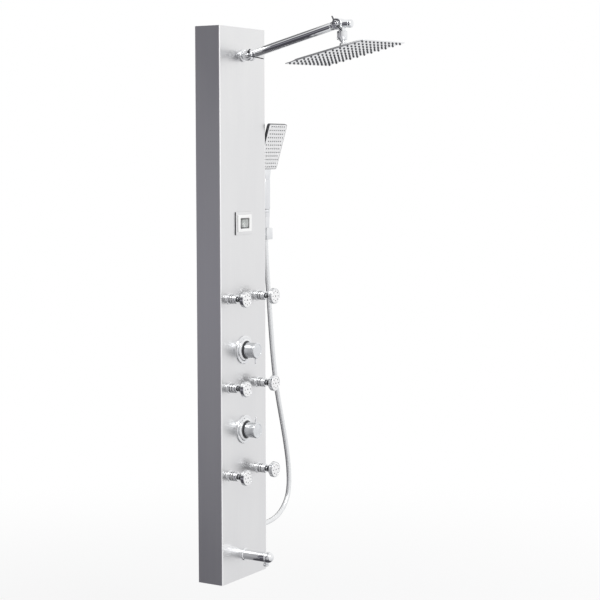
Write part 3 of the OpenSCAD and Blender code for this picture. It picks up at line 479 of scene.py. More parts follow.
class Form:
    """Points, in millimetres, and faces of a piece while it is being made."""

    def __init__(self):
        self.points, self.faces = [], []

    def ring(self, place, loop):
        first = len(self.points)
        self.points += [place @ Vector(p) for p in loop]
        return list(range(first, len(self.points)))

    def skin(self, rings, ends=True, closed=False):
        """Faces between one ring and the next; a ring of one point closes to it."""
        pairs = list(zip(rings, rings[1:]))
        if closed:
            pairs.append((rings[-1], rings[0]))
        for a, b in pairs:
            n = max(len(a), len(b))
            for k in range(n):
                j = (k + 1) % n
                if len(a) == 1 and len(b) > 1:
                    self.faces.append((a[0], b[j], b[k]))
                elif len(b) == 1 and len(a) > 1:
                    self.faces.append((a[k], a[j], b[0]))
                elif len(a) > 1:
                    self.faces.append((a[k], a[j], b[j], b[k]))
        if ends and not closed:
            for loop, flip in ((rings[0], True), (rings[-1], False)):
                if len(loop) > 1:
                    self.faces.append(tuple(reversed(loop)) if flip else tuple(loop))
        return self

    def turned(self, place, outline, radius=0.5, steps=64, closed=False, flutes=0, deep=0.0):
        """Turns an outline of (radius, height) points round the local z axis. flutes cut a knurl
        deep into the points that have a fourth value."""
        rings = []
        knurled = [p[1] for p in outline if len(p) > 3]
        for r, h in softened(outline, radius):
            if r < 1e-4:
                rings.append(self.ring(place, [(0, 0, h)]))
                continue
            cut = deep if knurled and knurled[0] <= h <= knurled[-1] else 0.0
            loop = []
            for a in around(steps):
                loop.append(polar(r - cut * (0.5 + 0.5 * math.cos(flutes * a)), a, h))
            rings.append(self.ring(place, loop))
        return self.skin(rings, ends=not closed, closed=closed)

    def thread(self, place, r, low, high, pitch=THREAD_PITCH, deep=1.0, steps=40):
        """Screw thread with its crests at radius r, from a low to a high point."""
        rings = [self.ring(place, [(0, 0, low)])]
        rows = max(4, round((high - low) / pitch * 6))
        for i in range(rows + 1):
            h = low + (high - low) * i / rows
            end = min(1.0, i / 3, (rows - i) / 3)
            loop = []
            for k, a in enumerate(around(steps)):
                wave = abs(((h / pitch - k / steps) % 1.0) * 2 - 1)
                loop.append(polar(r - deep * (1 - end * wave), a, h))
            rings.append(self.ring(place, loop))
        rings.append(self.ring(place, [(0, 0, high)]))
        return self.skin(rings)

    def slab(self, place, w, h, low, high, corner, edge=0.5, steps=4):
        """Plate with round corners and soft edges, from a low to a high z."""
        edge = min(edge, (high - low) * 0.49)
        loops = edge_loops(w, h, corner, low, high, edge, steps, -1)
        return self.skin([self.ring(place, loop) for loop in loops])

    def hollow_slab(self, place, outer, inner, low, high, edge=0.5, steps=4):
        """The same with a window through it; outer and inner are (w, h, corner)."""
        loops = edge_loops(*outer, low, high, edge, steps, -1)
        loops += edge_loops(*inner, low, high, edge, steps, 1)[::-1]
        return self.skin([self.ring(place, loop) for loop in loops], closed=True)

    def pipe(self, route, radius, steps=24):
        """Round bar along a route; radius is a number, or a function of (point, angle)."""
        pts = [Vector(p) for p in route]
        ways = [(b - a).normalized() for a, b in zip([pts[0], *pts], [*pts[1:], pts[-1]])]
        across = ways[0].orthogonal().normalized()
        rings = []
        for i, (p, way) in enumerate(zip(pts, ways)):
            across = (across - way * across.dot(way)).normalized()
            other = way.cross(across)
            loop = []
            for a in around(steps):
                own = radius(i, a) if callable(radius) else radius
                loop.append(p + (across * math.cos(a) + other * math.sin(a)) * own)
            rings.append(self.ring(Matrix.Identity(4), loop))
        return self.skin(rings)

    def ball(self, place, r):
        turns = [math.pi * k / BALL_STEPS for k in range(BALL_STEPS + 1)]
        arc = [(r * math.sin(a), -r * math.cos(a)) for a in turns]
        arc[0], arc[-1] = (0.0, -r), (0.0, r)
        return self.turned(place, arc, radius=0, steps=40)


def piece(name, form, finish, body, replaces=(), sharp=32):
    """Makes the object, in metres, with its finish, and lets it ride on its body, if it has one.
    replaces are the CAD nodes that it stands for, sharp the angle from which an edge is sharp."""
    mesh = bpy.data.meshes.new(name)
    mesh.from_pydata([p / M for p in form.points], [], form.faces)
    work = bmesh.new()
    work.from_mesh(mesh)
    bmesh.ops.recalc_face_normals(work, faces=work.faces)
    work.to_mesh(mesh)
    work.free()
    mesh.materials.append(finish)
    mesh.shade_smooth()
    mesh.set_sharp_from_angle(angle=math.radians(sharp))
    made = bpy.data.objects.new(name, mesh)
    bpy.context.scene.collection.objects.link(made)
    if body:
        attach(made, body)
    if replaces:
        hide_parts(*replaces)
    return made


def dress(finish, *names):
    """Gives a carried-over CAD node its finish."""
    for name in names:
        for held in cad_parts[name].material_slots:
            held.material = finish


# Sizes and colours that a user would change


class HoseSettings(bpy.types.PropertyGroup):
    diameter: bpy.props.FloatProperty(
        name="Diameter", description="Outside diameter of the hose", default=0.014, min=0.012,
        max=0.016, unit="LENGTH",
    )
    winding: bpy.props.FloatProperty(
        name="Winding", description="Distance between two turns of the foil", default=0.003,
        min=0.002, max=0.006, unit="LENGTH",
    )


class DetailSettings(bpy.types.PropertyGroup):
    nozzle_height: bpy.props.FloatProperty(
        name="Nozzle height", description="How far a rain nozzle stands out of its face plate",
        default=0.003, min=0.001, max=0.003, unit="LENGTH",
    )


class StageSettings(bpy.types.PropertyGroup):
    floor_colour: bpy.props.FloatVectorProperty(
        name="Floor colour", description="Colour of the plain floor",
        default=colour("#e9e9ea")[:3], size=3, min=0.0, max=1.0, subtype="COLOR",
    )
    floor_below: bpy.props.FloatProperty(
        name="Floor below", description="Distance from the panel's lower edge to the floor",
        default=0.35, min=0.05, max=1.0, unit="LENGTH",
    )


SETTINGS = {
    "shower_hose": HoseSettings, "shower_detail": DetailSettings, "shower_stage": StageSettings,
}


# Camera

CAMERA_AT = (-3.64157, -2.49179, -0.17126)
CAMERA_YAW, CAMERA_PITCH, CAMERA_ROLL = -58.4654, 5.1178, -0.0721
FOCAL_PIXELS, FRAME_PIXELS, SENSOR_MM = 1612.71, 600, 36.0


class SHOWER_OT_camera(bpy.types.Operator):
    """Sets the camera to the view of the photograph"""

    bl_idname = "shower.camera"
    bl_label = "Camera"

    def execute(self, context):
        upright = Matrix(((1, 0, 0), (0, 0, -1), (0, 1, 0)))
        about_y, about_x, about_z = (
            Matrix.Rotation(math.radians(degrees), 3, axis)
            for axis, degrees in (("Y", CAMERA_YAW), ("X", CAMERA_PITCH), ("Z", CAMERA_ROLL))
        )
        right, down, ahead = about_z @ about_x @ about_y @ upright
        seen = bpy.data.cameras.new("photo_view")
        seen.sensor_width = SENSOR_MM
        seen.lens = FOCAL_PIXELS * SENSOR_MM / FRAME_PIXELS
        seen.clip_end = 60
        made = bpy.data.objects.new("photo_view", seen)
        axes = Matrix((right, -down, -ahead)).transposed()
        made.matrix_world = Matrix.Translation(CAMERA_AT) @ axes.to_4x4()
        context.scene.collection.objects.link(made)
        context.scene.camera = made
        return {"FINISHED"}


# Hose

# Ends as (x, height), width of the bow, and its course as shares of (rise, bow)
HOSE_START, HOSE_END, HOSE_BOW = (136.0, 117.0), (162.0, 926.0), 144.0
PER_TURN, HOSE_STEPS, WINDING_DEEP = 4, 24, 0.16
HOSE_SHARES = [
    (0, 0), (0, 0.15), (0.0025, 0.35), (0.009, 0.53), (0.0235, 0.71), (0.046, 0.86), (0.075, 0.96),
    (0.11, 1), (0.147, 0.995), (0.187, 0.963), (0.229, 0.91), (0.278, 0.832), (0.33, 0.739),
    (0.382, 0.641), (0.431, 0.55), (0.481, 0.466), (0.53, 0.397), (0.592, 0.326), (0.659, 0.262),
    (0.733, 0.198), (0.805, 0.139), (0.87, 0.085), (0.931, 0.039), (0.974, 0.01), (1, 0),
]


class SHOWER_OT_hose(bpy.types.Operator):
    """Makes the hose from the outlet on the side to the hand shower's cone, and its lower nut"""

    bl_idname = "shower.hose"
    bl_label = "Hose"

    def execute(self, context):
        own = context.scene.shower_hose
        points = [
            (
                HOSE_START[0] + (HOSE_END[0] - HOSE_START[0]) * rise + HOSE_BOW * bow, -HAND_OUT,
                BASE_Z + HOSE_START[1] + (HOSE_END[1] - HOSE_START[1]) * rise,
            )
            for rise, bow in HOSE_SHARES
        ]
        route, length = even_route(points, own.winding * M / PER_TURN)
        radius = own.diameter * M / 2

        def wound(i, a):
            wave = 0.5 + 0.5 * math.cos(2 * math.pi * i / PER_TURN - a)
            end = min(i, len(route) - 1 - i)
            return radius - WINDING_DEEP * (wave if end > 2 * PER_TURN else 1.0)

        form = Form().pipe(route, wound, HOSE_STEPS)
        made = piece("hose_line", form, shine("hose"), None, ["hose"], 60)
        winding = made.data.attributes.new("winding", "FLOAT", "POINT")
        values = []
        for i in range(len(route)):
            for k in range(HOSE_STEPS):
                values.append(0.5 + 0.5 * math.cos(2 * math.pi * (i / PER_TURN - k / HOSE_STEPS)))
        winding.data.foreach_set("value", values)
        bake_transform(made)
        nut = Form()
        place = at_side(HAND_OUT, OUTLET_Z) @ shift(0, 0, 8)
        outline = [
            (10.4, 0.4), (11.2, 0.2), (11.9, 0.8, 0.3, 1), (11.9, 9.5, 0.3, 1), (10.9, 10.3),
            (10.9, 11.4), (11.6, 12.0), (9.6, 16.2), (8.6, 18.0), (7.1, 18.0), (7.1, 16.5),
            (10.4, 15.0),
        ]
        nut.turned(place, outline, 0.3, steps=144, closed=True, flutes=24, deep=0.5)
        low = piece(
            "hose_lower_nut", nut, shine("chrome"), "panel", ["hose_nut_bottom"], 40
        )
        return {"FINISHED"}


# Arm


def wing(form, place, length):
    """Tapered wing of a lever along local y, its thickness across local x."""
    root, tip, half = 4.0, 2.5, 1.5
    rings = []
    for y, share, thin in (
        (4.0, 1.0, 1.0), (length * 0.35, 0.93, 1.0), (length * 0.7, 0.86, 0.94),
        (length - 2.4, 1.0, 0.9), (length - 0.9, 0.86, 0.8), (length - 0.2, 0.55, 0.55),
    ):
        tall = (root + (tip - root) * (y - 4) / (length - 4)) * share
        loop = round_corners(2 * half * thin, 2 * tall, 1.1 * thin, 3)
        rings.append(form.ring(place, [(x, y, 4.0 + z) for x, z in loop]))
    form.skin(rings)


def lever(name, pivot, body, long_wing, angle, short_wing, short_angle):
    """Clamping lever: a domed hub with a bore, in bright chrome, and two wings in darker chrome as
    painted dark reflection.
    """
    form, hub = Form(), Form()
    place = pivot @ shift(-14.45, 0, 0) @ turn("Y", -90)
    outline = [(4.1, 0), (8.5, 0), (8.5, 6.9, 0.9), (7.4, 8.0, 0.6), (4.1, 8.0)]
    hub.turned(place, outline, 0.4, closed=True)
    for length, degrees in ((long_wing, angle), (short_wing, short_angle)):
        wing(form, place @ turn("Z", degrees) @ turn("X", 180) @ shift(0, 0, -8), length)
    piece(name, hub, shine("chrome"), body, [body], 35)
    # Wings in darker chrome: painted dark reflection
    piece(f"{name}_wings", form, shine("dark_reflection"), body, sharp=35)


def pivot_half(form, pivot, side):
    """Round cheek of a pivot with a soft rim and a ring of clamping teeth on its inner face."""
    place = pivot @ turn("Y", side * 90)
    outline = [
        (0, 0.15), (13.6, 0.15), (15, 0.9, 0.5), (15, 12.2, 1.2), (13.2, 14.1, 1.0), (0, 14.15),
    ]
    form.turned(place, outline, 0.6)
    outline = [(8.0, 14.0), (9.4, 14.0), (9.4, 14.15), (8.0, 14.15)]
    form.turned(place, outline, 0.0, closed=True)


def pivot_pin(form, pivot):
    """Pin through both cheeks and the lever, with a domed end and a screwdriver slot's ring."""
    place = pivot @ shift(13.9, 0, 0) @ turn("Y", -90)
    outline = [
        (0, 0), (4, 0), (4, 37.2), (3.3, 38.0), (1.6, 38.0, 0.1), (1.4, 37.5, 0.1), (0, 37.5),
    ]
    form.turned(place, outline, 0.4, steps=32)


class SHOWER_OT_arm(bpy.types.Operator):
    """Makes the overhead arm: flange, pivots, clamp levers, tube, elbow, nut and ball"""

    bl_idname = "shower.arm"
    bl_label = "Overhead arm"

    def execute(self, context):
        bright = shine("chrome")
        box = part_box("arm_flange")
        flange_r = (box[1].x - box[0].x) * M / 2
        flange_t = (box[1].y - box[0].y) * M
        outline = [
            (10.35, 0.02), (flange_r, 0.02), (flange_r, flange_t * 0.55, 1.2),
            (flange_r - 3.2, flange_t, 1.2), (10.35, flange_t),
        ]
        flange = Form().turned(at_front(0, ARM_Z), outline, 0.4, closed=True)
        piece("arm_escutcheon", flange, bright, "panel", ["arm_flange"])

        fixed = Form()
        pivot_pin(fixed, BASE_PIVOT)
        pivot_half(fixed, BASE_PIVOT, 1)
        neck = BASE_PIVOT @ turn("X", -90)
        fixed.turned(neck, [(0, 6), (10.8, 6), (11, 16.9), (0, 16.9)], 0.3)
        fixed.thread(neck, 10.25, 16.5, 40.0)
        piece("arm_inner_pivot", fixed, bright, "panel", ["base_knuckle"])
        lever("arm_inner_lever", BASE_PIVOT, "base_lever", 58, -12, 58 * 0.36, 48)

        yokes = Form()
        for place in (ARM, ARM @ shift(0, -ARM_LEN, 0) @ turn("X", 180)):
            pivot_half(yokes, place, -1)
            outline = [
                (0, 5), (11, 5), (11, 20.6), (9.9, 21.2), (9.9, 22.2), (11, 22.8), (11, 23.9),
                (0, 23.9),
            ]
            yokes.turned(place @ turn("X", 90), outline, 0.3)
            outline = [(0, 23.5), (9.45, 23.5), (9.45, 36), (0, 36)]
            yokes.turned(place @ turn("X", 90), outline, 0.5)
        piece("arm_cheeks", yokes, bright, "arm", ["arm_yokes"])

        outline = [(9.6, 0), (11, 0), (11, ARM_LEN - 48), (9.6, ARM_LEN - 48)]
        tube = Form().turned(ARM @ shift(0, -24, 0) @ turn("X", 90), outline, 0.5, closed=True)
        piece("arm_bar", tube, bright, "arm", ["arm_tube"])

        elbow = Form()
        pivot_pin(elbow, END_PIVOT)
        pivot_half(elbow, END_PIVOT, 1)
        outline = [
            (0, 2), (10.5, 2), (10.5, 30.5), (9.8, 31.1), (9.8, 32), (10.5, 32.6),
            (10.5, 37.4, 1.6), (8.8, 39, 0.8), (0, 39),
        ]
        elbow.turned(END_PIVOT @ turn("X", 90), outline, 0.3)
        outline = [(0, 0), (8.5, 0), (8.5, 20), (0, 20)]
        elbow.turned(END_PIVOT @ shift(0, -10, -26.2), outline, 0.4)
        piece("arm_elbow", elbow, bright, "elbow", ["end_elbow"])
        lever("arm_outer_lever", END_PIVOT, "end_lever", 28, -43, 28 * 0.8, 117)

        outline = [
            (9.35, -4.5), (11.9, -4.5), (13.5, -3.0, 0.8), (13.5, 0.4, 0.3), (12.9, 0.9, 0.2),
            (12.9, 1.7, 0.2), (13.5, 2.2, 0.3, 1), (13.5, 16.6, 0.3, 1), (12.4, 18.5, 0.6),
            (8.56, 18.5), (8.56, 5.6), (10.3, 0.4), (10.2, -1.6),
        ]
        nut = Form().turned(BALL, outline, 0.3, steps=180, closed=True, flutes=30, deep=0.45)
        piece("swivel_ring", nut, bright, "elbow", ["swivel_nut"], 40)

        ball = Form().ball(HEAD, 10.0)
        ball.turned(HEAD, [(0, -22.2), (5.5, -22.2), (5.5, -7.5), (0, -7.5)], 0.3, steps=32)
        piece("swivel_ball_stem", ball, bright, "swivel", ["swivel_ball"])
        return {"FINISHED"}


# Rain head

HEAD_W, HEAD_L, HEAD_T = 220.0, 240.0, 2.0
FACE_DROP, CHAMBER_T = 38.5, 6.0
RAIN_COLS, RAIN_ROWS, RAIN_PITCH, RAIN_ROW_PITCH = 11, 11, 20.0, 21.8


class SHOWER_OT_rain_head(bpy.types.Operator):
    """Makes the rain head: collar, water chamber, face plate and silicone nozzles"""

    bl_idname = "shower.rain_head"
    bl_label = "Rain head"

    def execute(self, context):
        bright = shine("chrome")
        outline = [
            (5.65, -12), (9, -12, 0.8), (9.7, -14.8, 2), (13.5, -24.3, 1.2), (13.5, -27.9, 0.3),
            (12.9, -28.4, 0.2), (12.9, -29.1, 0.2), (13.5, -29.6, 0.3), (13.5, -32.48),
            (5.65, -32.48),
        ]
        collar = Form().turned(HEAD, outline, 0.4, closed=True)
        piece("head_flare", collar, bright, "rain_head", ["head_collar"])

        lower, upper, middle = -FACE_DROP, -FACE_DROP + CHAMBER_T, -FACE_DROP + CHAMBER_T / 2
        rings = []
        chamber = Form()
        for inset, z in (
            (10.0, lower), (10.0, lower + 1.2), (10.4, lower + 2.0), (11.4, middle - 0.35),
            (12.6, middle), (14.2, middle), (15.2, middle + 0.35), (15.8, middle + 1.2),
            (16.4, upper - 0.8), (17.6, upper - 0.15), (19.5, upper),
        ):
            loop = round_corners(HEAD_W - 2 * inset, HEAD_L - 2 * inset, 5 + inset * 0.4, 6)
            rings.append(chamber.ring(HEAD, [(x, y, z) for x, y in loop]))
        chamber.skin(rings)
        piece("head_chamber", chamber, bright, "rain_head", ["rain_top_plate"])

        face = Form().slab(HEAD, HEAD_W, HEAD_L, -FACE_DROP - HEAD_T, -FACE_DROP, 5, 0.7)
        piece("head_face", face, bright, "rain_head", ["rain_face_plate"])

        own = context.scene.shower_detail
        high = own.nozzle_height * M
        tips = Form()
        down = HEAD @ turn("X", 180)
        outline = [
            (0, -0.02), (3.0, -0.02), (3.0, 0.45, 0.2), (2.6, 0.8, 0.2), (2.0, high, 0.3),
            (0.9, high, 0.1), (0.7, high - 0.7, 0.1), (0, high - 0.7),
        ]
        for i in range(RAIN_COLS):
            for j in range(RAIN_ROWS):
                x = (i - (RAIN_COLS - 1) / 2) * RAIN_PITCH
                y = (j - (RAIN_ROWS - 1) / 2) * RAIN_ROW_PITCH
                tips.turned(down @ shift(x, -y, FACE_DROP + HEAD_T), outline, 0.1, steps=14)
        piece(
            "head_nozzle_tips", tips, shine("silicone"), "rain_head", ["rain_nozzles"],
            50,
        )
        return {"FINISHED"}


# Display


def segment(form, place, x, y, w, h):
    form.slab(place @ shift(x, y, 0), w, h, 3.001, 3.03, min(w, h) * 0.45, 0.01, 1)


class SHOWER_OT_display(bpy.types.Operator):
    """Makes the display: seal, plate, frame, window, printed border, screen with unlit segments"""

    bl_idname = "shower.display"
    bl_label = "Display"

    def execute(self, context):
        place = at_front(0, DISPLAY_Z)
        seal = Form().hollow_slab(place, (79.6, 61.6, 1.8), (46, 31, 1.6), 0.02, 1.9, 0.2)
        piece("display_seal", seal, shine("rubber"), "panel")
        plate = Form().hollow_slab(place, (80, 62, 2), (46, 31, 1.6), 1.9, 3.0, 0.5)
        piece("display_plate", plate, shine("steel"), "panel", ["display_bezel"])
        bezel = Form().hollow_slab(place, (66, 46, 2.4), (43, 28, 1.4), 2.6, 6.0, 1.1)
        piece("display_frame", bezel, shine("bezel"), "panel")

        border = Form().hollow_slab(place, (44.5, 29.5, 1), (33.5, 20.5, 2.5), 3.04, 3.12, 0.03, 1)
        piece("display_border", border, shine("border"), "panel")

        window = Form().slab(place, 42.6, 27.6, 3.16, 4.45, 1.2, 0.25, 2)
        piece("display_window", window, shine("window"), "panel", ["display_lens"])

        cell = Form().slab(place, 40, 25, 0.5, 3.0, 0.8, 0.2, 2)
        piece("display_cell", cell, shine("cell"), "panel", ["display_screen"])

        marks = Form()
        for digit in (-1, 0, 1):
            x0 = digit * 10.0 - 1.5
            for y in (-7.0, 0.0, 7.0):
                segment(marks, place, x0, y, 5.0, 1.1)
            for x in (-3.1, 3.1):
                for y in (-3.5, 3.5):
                    segment(marks, place, x0 + x, y, 1.1, 5.4)
        segment(marks, place, 3.5, -7.0, 1.2, 1.2)
        piece("display_segments", marks, shine("segments"), "panel")
        dress(shine("white"), "display_housing")
        dress(shine("can"), "display_battery")
        dress(shine("rubber"), "probe_cable")
        return {"FINISHED"}


# Knobs

FLANGE_R, FLANGE_T, STEP_R, SKIRT_R = 39.0, 4.0, 31.0, 25.0
# Dark sleeve that paints the shade in the gap behind a knob: its radius, bore and front
SLEEVE_R, SLEEVE_BORE, SLEEVE_OUT = 19.9, 17.85, 12.0
KNOB_R, KNOB_OUT, KNOB_BACK, KNOB_PIN_L = 21.0, 45.0, 12.3, 15.0


class SHOWER_OT_knobs(bpy.types.Operator):
    """Makes the flanges, the dark sleeves that paint the shade behind the knobs, the knobs and the
    pin levers of the diverter and the mixer
    """

    bl_idname = "shower.knobs"
    bl_label = "Knobs"

    def execute(self, context):
        bright = shine("chrome")
        flanges, gap_shades = Form(), Form()
        for z in (DIVERTER_Z, MIXER_Z):
            outline = [
                (20.15, 0.02), (FLANGE_R, 0.02), (FLANGE_R, FLANGE_T - 0.6, 1.6),
                (FLANGE_R - 3.5, FLANGE_T, 1.2), (STEP_R + 0.4, FLANGE_T, 0.3),
                (STEP_R - 0.2, FLANGE_T + 1.6, 0.8), (STEP_R - 1.4, FLANGE_T + 2.4, 0.6),
                (SKIRT_R, FLANGE_T + 4.6, 0.3), (SKIRT_R, FLANGE_T + 2.0), (20.15, FLANGE_T + 2.0),
            ]
            flanges.turned(at_front(0, z), outline, 0.4, steps=96, closed=True)
            # Sleeve in dark acetal between the flange and the knob's back: painted shade in the
            # gap behind the knob
            outline = [
                (SLEEVE_BORE, 2.35), (SLEEVE_R, 2.35), (SLEEVE_R, FLANGE_T + 2.2),
                (SKIRT_R - 0.2, FLANGE_T + 2.2), (SKIRT_R - 0.2, FLANGE_T + 4.5, 0.2),
                (SLEEVE_R + 2.1, FLANGE_T + 5.8, 1), (SLEEVE_R + 0.3, FLANGE_T + 6.6, 0.3),
                (SLEEVE_R, SLEEVE_OUT - 0.7, 0.4), (SLEEVE_R - 0.7, SLEEVE_OUT, 0.3),
                (SLEEVE_BORE, SLEEVE_OUT),
            ]
            gap_shades.turned(at_front(0, z), outline, 0.2, steps=96, closed=True)
        piece("knob_roses", flanges, bright, "panel", ["knob_flanges"])
        # The dark sleeves are painted shade behind the knobs
        piece("knob_gap_shades", gap_shades, shine("charcoal_and_gap_shade"), "panel")

        for name, z, way in (("diverter", DIVERTER_Z, 90), ("mixer", MIXER_Z, -90)):
            place = at_front(0, z)
            outline = [
                (4.6, KNOB_BACK), (KNOB_R - 1.2, KNOB_BACK), (KNOB_R, KNOB_BACK + 1.2, 0.6),
                (KNOB_R, 39.6, 0.3), (KNOB_R - 0.5, 40.2, 0.2), (KNOB_R - 0.5, 41.2, 0.2),
                (KNOB_R + 1.0, 41.9, 0.3), (KNOB_R + 1.0, KNOB_OUT - 1.4, 1.1),
                (KNOB_R - 0.9, KNOB_OUT, 0.8), (KNOB_R - 3.6, KNOB_OUT - 0.05, 0.3),
                (KNOB_R - 4.1, KNOB_OUT - 0.6, 0.3), (12, KNOB_OUT - 0.35, 3), (0, KNOB_OUT - 0.2),
                (0, 30), (4.6, 29.6),
            ]
            knob = Form().turned(place, outline, 0.4, steps=96)
            centre = (0, -PANEL_D, BASE_Z + z)
            lap = turned_chrome(f"{name}_spun_chrome", centre, (0, 1, 0))
            piece(f"{name}_grip", knob, lap, name, [f"{name}_knob"], 30)
            up = place @ shift(0, 0, KNOB_OUT - 7.6) @ turn("X", way)
            outline = [
                (0, KNOB_R - 3), (2.9, KNOB_R - 3), (2.9, KNOB_R + 1.0, 0.3),
                (2.4, KNOB_R + 1.6, 0.3), (2.3, KNOB_R + 6, 2),
                (2.5, KNOB_R + KNOB_PIN_L - 1.6, 1.2), (1.8, KNOB_R + KNOB_PIN_L, 0.8),
                (0, KNOB_R + KNOB_PIN_L),
            ]
            pin = Form().turned(up, outline, 0.3, steps=28)
            piece(f"{name}_pin_lever", pin, bright, name)
            dress(shine("brass"), f"{name}_spindle", f"{name}_valve")
        return {"FINISHED"}


# Body jets

# The ball's centre and the socket's front from the panel; bell and head from the ball's centre
JET_BALL_OUT, JET_FRONT, JET_RIM, JET_HEAD_OUT = 21.0, 26.2, 26.0, 37.0
NOZZLE_RING = 12.9


class SHOWER_OT_jets(bpy.types.Operator):
    """Makes the six body jets: socket with washer and seals, bell, spray face and tips"""

    bl_idname = "shower.jets"
    bl_label = "Body jets"

    def execute(self, context):
        bright, tips = shine("chrome"), shine("silicone")
        sockets, seals = Form(), Form()
        for number in range(1, 7):
            place = at_jet(number)
            outline = [
                (0, -2), (8.9, -2), (8.9, 0.02, 0.05), (15, 0.02, 0.3), (15, 1.4, 0.7),
                (13.4, 2.0, 0.4), (12.5, 2.2, 0.3), (12.5, 6.55, 0.3), (11.5, 6.55, 0.1),
                (11.5, 8.55, 0.1), (12.5, 8.55, 0.3), (12.5, 13.1, 0.3), (11.5, 13.1, 0.1),
                (11.5, 15.1, 0.1), (12.5, 15.1, 0.3), (12.5, 19.2, 0.3), (12.1, 19.6, 0.1),
                (12.1, 20.2, 0.1), (12.5, 20.6, 0.3), (12.5, JET_FRONT - 1.6, 1.2),
                (11.2, JET_FRONT, 0.6), (7.75, JET_FRONT, 0.3), (8.1, JET_FRONT - 1.8, 0.3),
                (8.8, JET_BALL_OUT, 1.0), (8.1, JET_BALL_OUT - 3.4, 0.6), (0, JET_BALL_OUT - 8.8),
            ]
            sockets.turned(place, outline, 0.3, steps=72)
            sockets.thread(place, 9.0, -22, -1.5, 1.5, 0.8)
            for z in (7.55, 14.1):
                ring = [(11.75 + 0.9 * math.cos(a), z + 0.9 * math.sin(a)) for a in around(12)]
                seals.turned(place, ring, 0, steps=72, closed=True)
        piece("jet_collars", sockets, bright, "panel", ["jet_sockets"], 30)
        piece("jet_seal_rings", seals, shine("rubber"), "panel")
        for number in range(1, 7):
            dress(shine("charcoal_and_gap_shade"), f"jet_ball_{number}")
            place = at_jet(number) @ shift(0, 0, JET_BALL_OUT)
            outline = [
                (0, 8.85), (1.6, 8.7), (3.2, 8.25), (4.6, 7.6), (5.5, 7.0, 0.2), (5.5, 8.2, 0.4),
                (7.3, 9.0, 0.5), (8.3, 10.4, 0.5), (9.3, 12.4, 0.3), (8.7, 12.9), (0, 12.9),
            ]
            neck = Form().turned(place, outline, 0.4, steps=80)
            body, node_name = f"jet_{number}", f"jet_head_{number}"
            piece(f"{body}_neck", neck, bright, body, [node_name], 30)
            outline = [
                (0, 12.5), (9.2, 12.5, 0.3), (9.7, 13.4, 1), (11.8, 17.0, 5), (20.9, JET_RIM, 0.4),
                (20.6, JET_RIM + 1.6), (0, JET_RIM + 1.6),
            ]
            bell = Form().turned(place, outline, 0.4, steps=80)
            # Bell in darker chrome: painted dark reflection
            piece(f"{body}_bell", bell, shine("dark_reflection"), body, sharp=30)
            outline = [
                (20.7, JET_RIM + 0.4), (20.9, JET_RIM - 0.1, 0.2), (21.5, JET_RIM + 0.5, 0.4),
                (21.5, JET_HEAD_OUT - 1.0, 0.8), (20.6, JET_HEAD_OUT, 0.6),
                (19.3, JET_HEAD_OUT, 0.3), (18.9, JET_HEAD_OUT - 0.7, 0.3),
                (18.9, JET_HEAD_OUT - 1.8),
            ]
            rim = Form().turned(place, outline, 0.3, steps=80, closed=True)
            piece(f"{body}_rim", rim, bright, body, sharp=30)
            outline = [
                (0, -1.6), (18.8, -1.6), (18.7, -0.3, 0.3), (17.6, -0.1, 0.4), (9, -0.05, 4),
                (0, -0.05),
            ]
            face = Form().turned(place @ shift(0, 0, JET_HEAD_OUT), outline, 0.3, steps=72)
            piece(f"{body}_face", face, shine("pale"), body)
            spray = Form()
            spots = [polar(NOZZLE_RING, a, 1.5) for a in around(8)] + [(0, 0, 2.0)]
            for x, y, wide in spots:
                outline = [
                    (0, 0), (wide, 0), (wide, 0.35, 0.15), (wide * 0.72, 0.95, 0.25),
                    (0.55, 0.95, 0.1), (0.45, 0.5, 0.1), (0, 0.5),
                ]
                spray.turned(place @ shift(x, y, JET_HEAD_OUT - 0.15), outline, 0.1, steps=16)
            piece(f"{body}_tips", spray, tips, body, sharp=50)
        return {"FINISHED"}


# Tub spout


class SHOWER_OT_spout(bpy.types.Operator):
    """Makes the tub spout: rose, tube, round end, outlet and its aerator"""

    bl_idname = "shower.spout"
    bl_label = "Tub spout"

    def execute(self, context):
        place = at_front(0, SPOUT_Z)
        bright = shine("chrome")
        spout = Form()
        turns = [math.radians(a) for a in range(72, 180, 6)]
        arc = [(15 * math.sin(a), 77 - 15 * math.cos(a)) for a in turns] + [(0, 92)]
        outline = [
            (0, 0.02), (17.5, 0.02), (17.5, 1.4, 0.8), (15.6, 3.0, 0.9), (14.1, 3.2, 0.4),
            (14, 4.0, 0.3), (14, 69.4, 0.3), (13.3, 70.0, 0.15), (13.3, 71.0, 0.15),
            (13.8, 71.6, 0.2),
        ]
        spout.turned(place, outline + arc, 0.3, steps=96)
        spout.thread(place, 10.25, -18, 0.2)
        neck = place @ shift(0, 0, 69) @ turn("X", 90)
        spout.turned(neck, [(0, 6), (6.5, 6), (6.5, 18.3), (0, 18.3)], 0.3, steps=48)
        piece("spout_bar", spout, bright, "panel", ["spout"])
        rim = Form()
        outline = [
            (5.2, 18.1), (7.7, 18.1), (8.5, 18.9, 0.3, 1), (8.5, 22.6, 0.3, 1), (7.7, 24.0, 0.5),
            (6.3, 24.0, 0.3), (6.1, 23.0, 0.2), (5.2, 23.0),
        ]
        rim.turned(neck, outline, 0.3, steps=96, closed=True, flutes=16, deep=0.35)
        piece("spout_aerator_ring", rim, bright, "panel", ["spout_aerator"], 40)
        mesh = Form()
        for k in range(-5, 6):
            half = math.sqrt(max(6.0**2 - (k * 1.1) ** 2, 0.01))
            for direction in (0, 90):
                line = neck @ turn("Z", direction)
                mesh.slab(line @ shift(k * 1.1, 0, 0), 0.28, 2 * half, 22.3, 22.6, 0.05, 0.05, 1)
        piece("spout_aerator_mesh", mesh, shine("screws"), "panel")
        return {"FINISHED"}


# Hand shower

SPRAY_W, SPRAY_L, SPRAY_PITCH = 92.0, 130.5, 10.5


